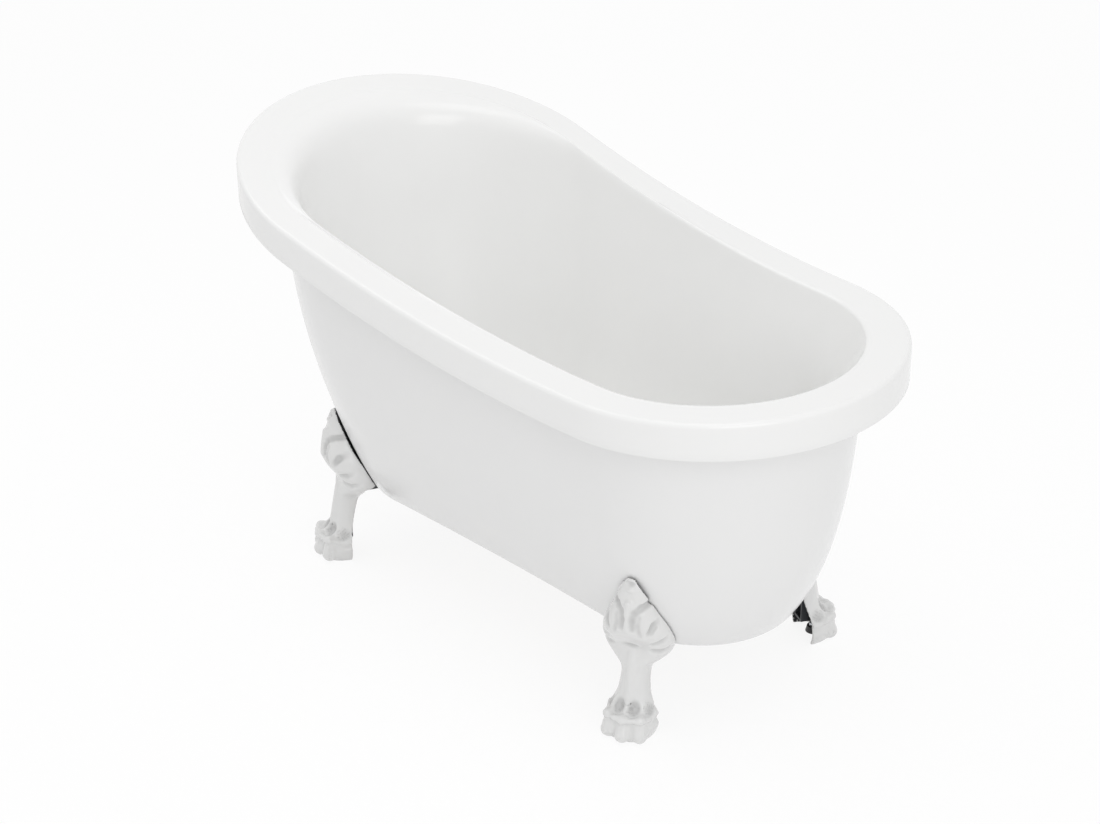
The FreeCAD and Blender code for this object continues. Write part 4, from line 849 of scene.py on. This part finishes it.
def net(values, axes):
    """Surface through the zero of a field on a grid: points, four-sided faces."""
    size = np.array(values.shape) + 1
    count = np.zeros(size.prod())
    total = np.zeros((size.prod(), 3))
    rings = []
    for axis in range(3):
        first = np.delete(values, -1, axis)
        second = np.delete(values, 0, axis)
        crossed = (first < 0) != (second < 0)
        nodes = np.argwhere(crossed)
        share = first[crossed] / (first[crossed] - second[crossed])
        points = nodes.astype(float)
        points[:, axis] += share
        one, two = [other for other in range(3) if other != axis]
        ring = []
        for step_one, step_two in ((0, 0), (1, 0), (1, 1), (0, 1)):
            cell = nodes.copy()
            cell[:, axis] += 1
            cell[:, one] += step_one
            cell[:, two] += step_two
            index = np.ravel_multi_index(cell.T, size)
            count += np.bincount(index, minlength=len(count))
            for column in range(3):
                total[:, column] += np.bincount(index, points[:, column], len(count))
            ring.append(index)
        rings.append(np.stack(ring, axis=1))
    used = count > 0
    number = np.cumsum(used) - 1
    points = total[used] / count[used][:, None]
    start = np.array([axis[0] for axis in axes])
    return start + points * FOOT_STEP, number[np.concatenate(rings)]


def read_grid(values, axes, points):
    """The field at each point, between the eight grid points round it."""
    start = np.array([axis[0] for axis in axes])
    place = np.clip((points - start) / FOOT_STEP, 0, np.array(values.shape) - 1.001)
    cell = place.astype(int)
    share = place - cell
    total = np.zeros(len(points))
    for corner in np.ndindex(2, 2, 2):
        weight = np.prod(np.where(np.array(corner) == 1, share, 1 - share), axis=1)
        total += weight * values[tuple((cell + corner).T)]
    return total


def claw_foot(end):
    """Mesh of one right-hand foot, with the unpainted inside of the casting and the faces in the
    gap to the shell as a second, dark material; on the faces in the gap the dark is painted shade.
    """
    spot = FOOT_PLACES[end]
    axes, values, bare_inside_and_gap_shade, plain = foot_shape(end)
    points, faces = net(values, axes)
    cosine, sine = math.cos(spot["heading"]), math.sin(spot["heading"])
    places = np.column_stack([
        spot["x"] + points[:, 0] * cosine - points[:, 1] * sine,
        points[:, 0] * sine + points[:, 1] * cosine - FOOT_OFFSET,
        np.maximum(points[:, 2], 0.0),
    ]) * MM
    middles = points[faces].mean(axis=1)
    # Faces of the unpainted inside and of the gap to the shell take the dark finish; in the gap it
    # is painted shade.
    inside = (read_grid(bare_inside_and_gap_shade, axes, middles) < FOOT_STEP / 2) & (middles[:, 2] > FOOT_STEP)
    # How deep each point lies under the plain leg, kept as a point attribute for the painted shade
    # in the recesses.
    depth = np.clip(-read_grid(plain, axes, points) / RECESS_SHADE_DEPTH, 0.0, 1.0)
    mesh = bpy.data.meshes.new("claw_foot_" + end)
    mesh.from_pydata(places.tolist(), [], faces.tolist())
    mesh.polygons.foreach_set("material_index", inside.astype(int))
    mesh.attributes.new("recess_shade", "FLOAT", "POINT").data.foreach_set("value", depth)
    mesh.materials.append(MATERIALS["foot_enamel"])
    mesh.materials.append(MATERIALS["bare_casting"])
    tidy(mesh, FOOT_SHARP)
    return mesh


def claw_feet():
    for end in FOOT_PLACES:
        right = claw_foot(end)
        left = right.copy()
        left.transform(Matrix.Scale(-1, 4, (0, 1, 0)))
        left.flip_normals()
        for side, mesh in (("right", right), ("left", left)):
            name = "claw_%s_%s" % (end, side)
            thing = bpy.data.objects.new(name, mesh)
            bpy.context.scene.collection.objects.link(thing)
            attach(thing, "bath")
            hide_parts("claw_foot_%s_%s" % (end, side))


# -------------------------------------------------------------------------------- assembly

def finish_cad_nodes():
    """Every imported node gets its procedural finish."""
    for entry in frame["record"]["subparts"]:
        node = frame["nodes"][entry["node"]]
        material = MATERIALS[entry["material_slot"]]
        node.data.materials.clear()
        node.data.materials.append(material)


def make_bath():
    liner = bath_liner()
    low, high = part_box("waste_flange")
    middle = (Vector(low) + Vector(high)) / 2
    waste = drill_bit("waste_bit", WASTE_HOLE, middle, (0, 0, 1), DRILL_LENGTH)
    low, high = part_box("overflow_cover")
    cover = (Vector(low) + Vector(high)) / 2
    slope = (math.cos(OVERFLOW_TILT), 0, -math.sin(OVERFLOW_TILT))
    overflow = drill_bit("overflow_bit", OVERFLOW_HOLE, cover, slope, DRILL_LENGTH)
    drill(liner, [waste, overflow])
    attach(liner, "bath")
    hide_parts("bath_shell")
    skirt = bath_skirt()
    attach(skirt, "bath")
    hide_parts("outer_skirt")


# ---------------------------------------------------------------------------------- studio

def white_for_camera(tree, shader_output, target, share):
    """Plain white to the eye and in reflections, the given shader to the light. The share is less
    than one where a shadow should stay."""
    path = tree.nodes.new("ShaderNodeLightPath")
    seen = path.outputs["Is Camera Ray"]
    for kind in ("Is Glossy Ray", "Is Transmission Ray"):
        either = tree.nodes.new("ShaderNodeMath")
        either.operation = "MAXIMUM"
        tree.links.new(seen, either.inputs[0])
        tree.links.new(path.outputs[kind], either.inputs[1])
        seen = either.outputs[0]
    part = tree.nodes.new("ShaderNodeMath")
    part.operation = "MULTIPLY"
    part.inputs[1].default_value = share
    tree.links.new(seen, part.inputs[0])
    glow = tree.nodes.new("ShaderNodeEmission")
    glow.inputs["Strength"].default_value = 1.02
    mix = tree.nodes.new("ShaderNodeMixShader")
    tree.links.new(part.outputs[0], mix.inputs[0])
    tree.links.new(shader_output, mix.inputs[1])
    tree.links.new(glow.outputs[0], mix.inputs[2])
    tree.links.new(mix.outputs[0], target)


def studio():
    scene = bpy.context.scene
    scene.view_settings.view_transform = "Standard"
    scene.view_settings.look = "None"
    world = bpy.data.worlds.new("studio")
    world.use_nodes = True
    scene.world = world
    tree = world.node_tree
    background = tree.nodes["Background"]
    background.inputs["Color"].default_value = (1.0, 1.0, 1.0, 1.0)
    background.inputs["Strength"].default_value = 0.7
    white_for_camera(tree, background.outputs[0], tree.nodes["World Output"].inputs["Surface"],
                     1.0)

    mesh = bpy.data.meshes.new("floor")
    reach = 6.0
    mesh.from_pydata([(-reach, -reach, 0), (reach, -reach, 0), (reach, reach, 0),
                      (-reach, reach, 0)], [], [(0, 1, 2, 3)])
    floor = bpy.data.objects.new("floor", mesh)
    scene.collection.objects.link(floor)
    material, tree, shader = new_material("pale_floor")
    shader.inputs["Base Color"].default_value = (0.93, 0.93, 0.93, 1.0)
    shader.inputs["Roughness"].default_value = 0.8
    output = tree.nodes["Material Output"]
    white_for_camera(tree, shader.outputs[0], output.inputs["Surface"], 0.87)
    mesh.materials.append(material)
    floor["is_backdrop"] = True

    for name, place, size, power in (
        ("top_light", (0.3, -0.3, 3.2), 1.6, 7.0),
        ("side_light", (3.2, -1.6, 2.4), 2.0, 22.0),
        ("head_light", (-1.7, -0.5, 3.0), 1.5, 7.0),
    ):
        lamp = bpy.data.lights.new(name, "AREA")
        lamp.size = size
        lamp.energy = power
        thing = bpy.data.objects.new(name, lamp)
        thing.location = place
        aim = Vector((0.0, 0.0, 0.4)) - Vector(place)
        thing.rotation_euler = aim.to_track_quat("-Z", "Y").to_euler()
        scene.collection.objects.link(thing)


def camera():
    data = bpy.data.cameras.new("photo_camera")
    data.lens = CAMERA_LENS
    data.sensor_width = 36.0
    data.sensor_fit = "HORIZONTAL"
    data.clip_end = 50.0
    thing = bpy.data.objects.new("photo_camera", data)
    look = Vector(CAMERA_AIM).to_track_quat("-Z", "Y").to_matrix().to_4x4()
    thing.matrix_world = (Matrix.Translation(CAMERA_PLACE) @ look
                          @ Matrix.Rotation(CAMERA_ROLL, 4, "Z"))
    bpy.context.scene.collection.objects.link(thing)
    bpy.context.scene.camera = thing


camera()
studio()
finish_cad_nodes()
make_bath()
claw_feet()

boxes = {"cad": cad_box, "visual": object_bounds()}
{name: [list(corner) for corner in box] for name, box in boxes.items()}
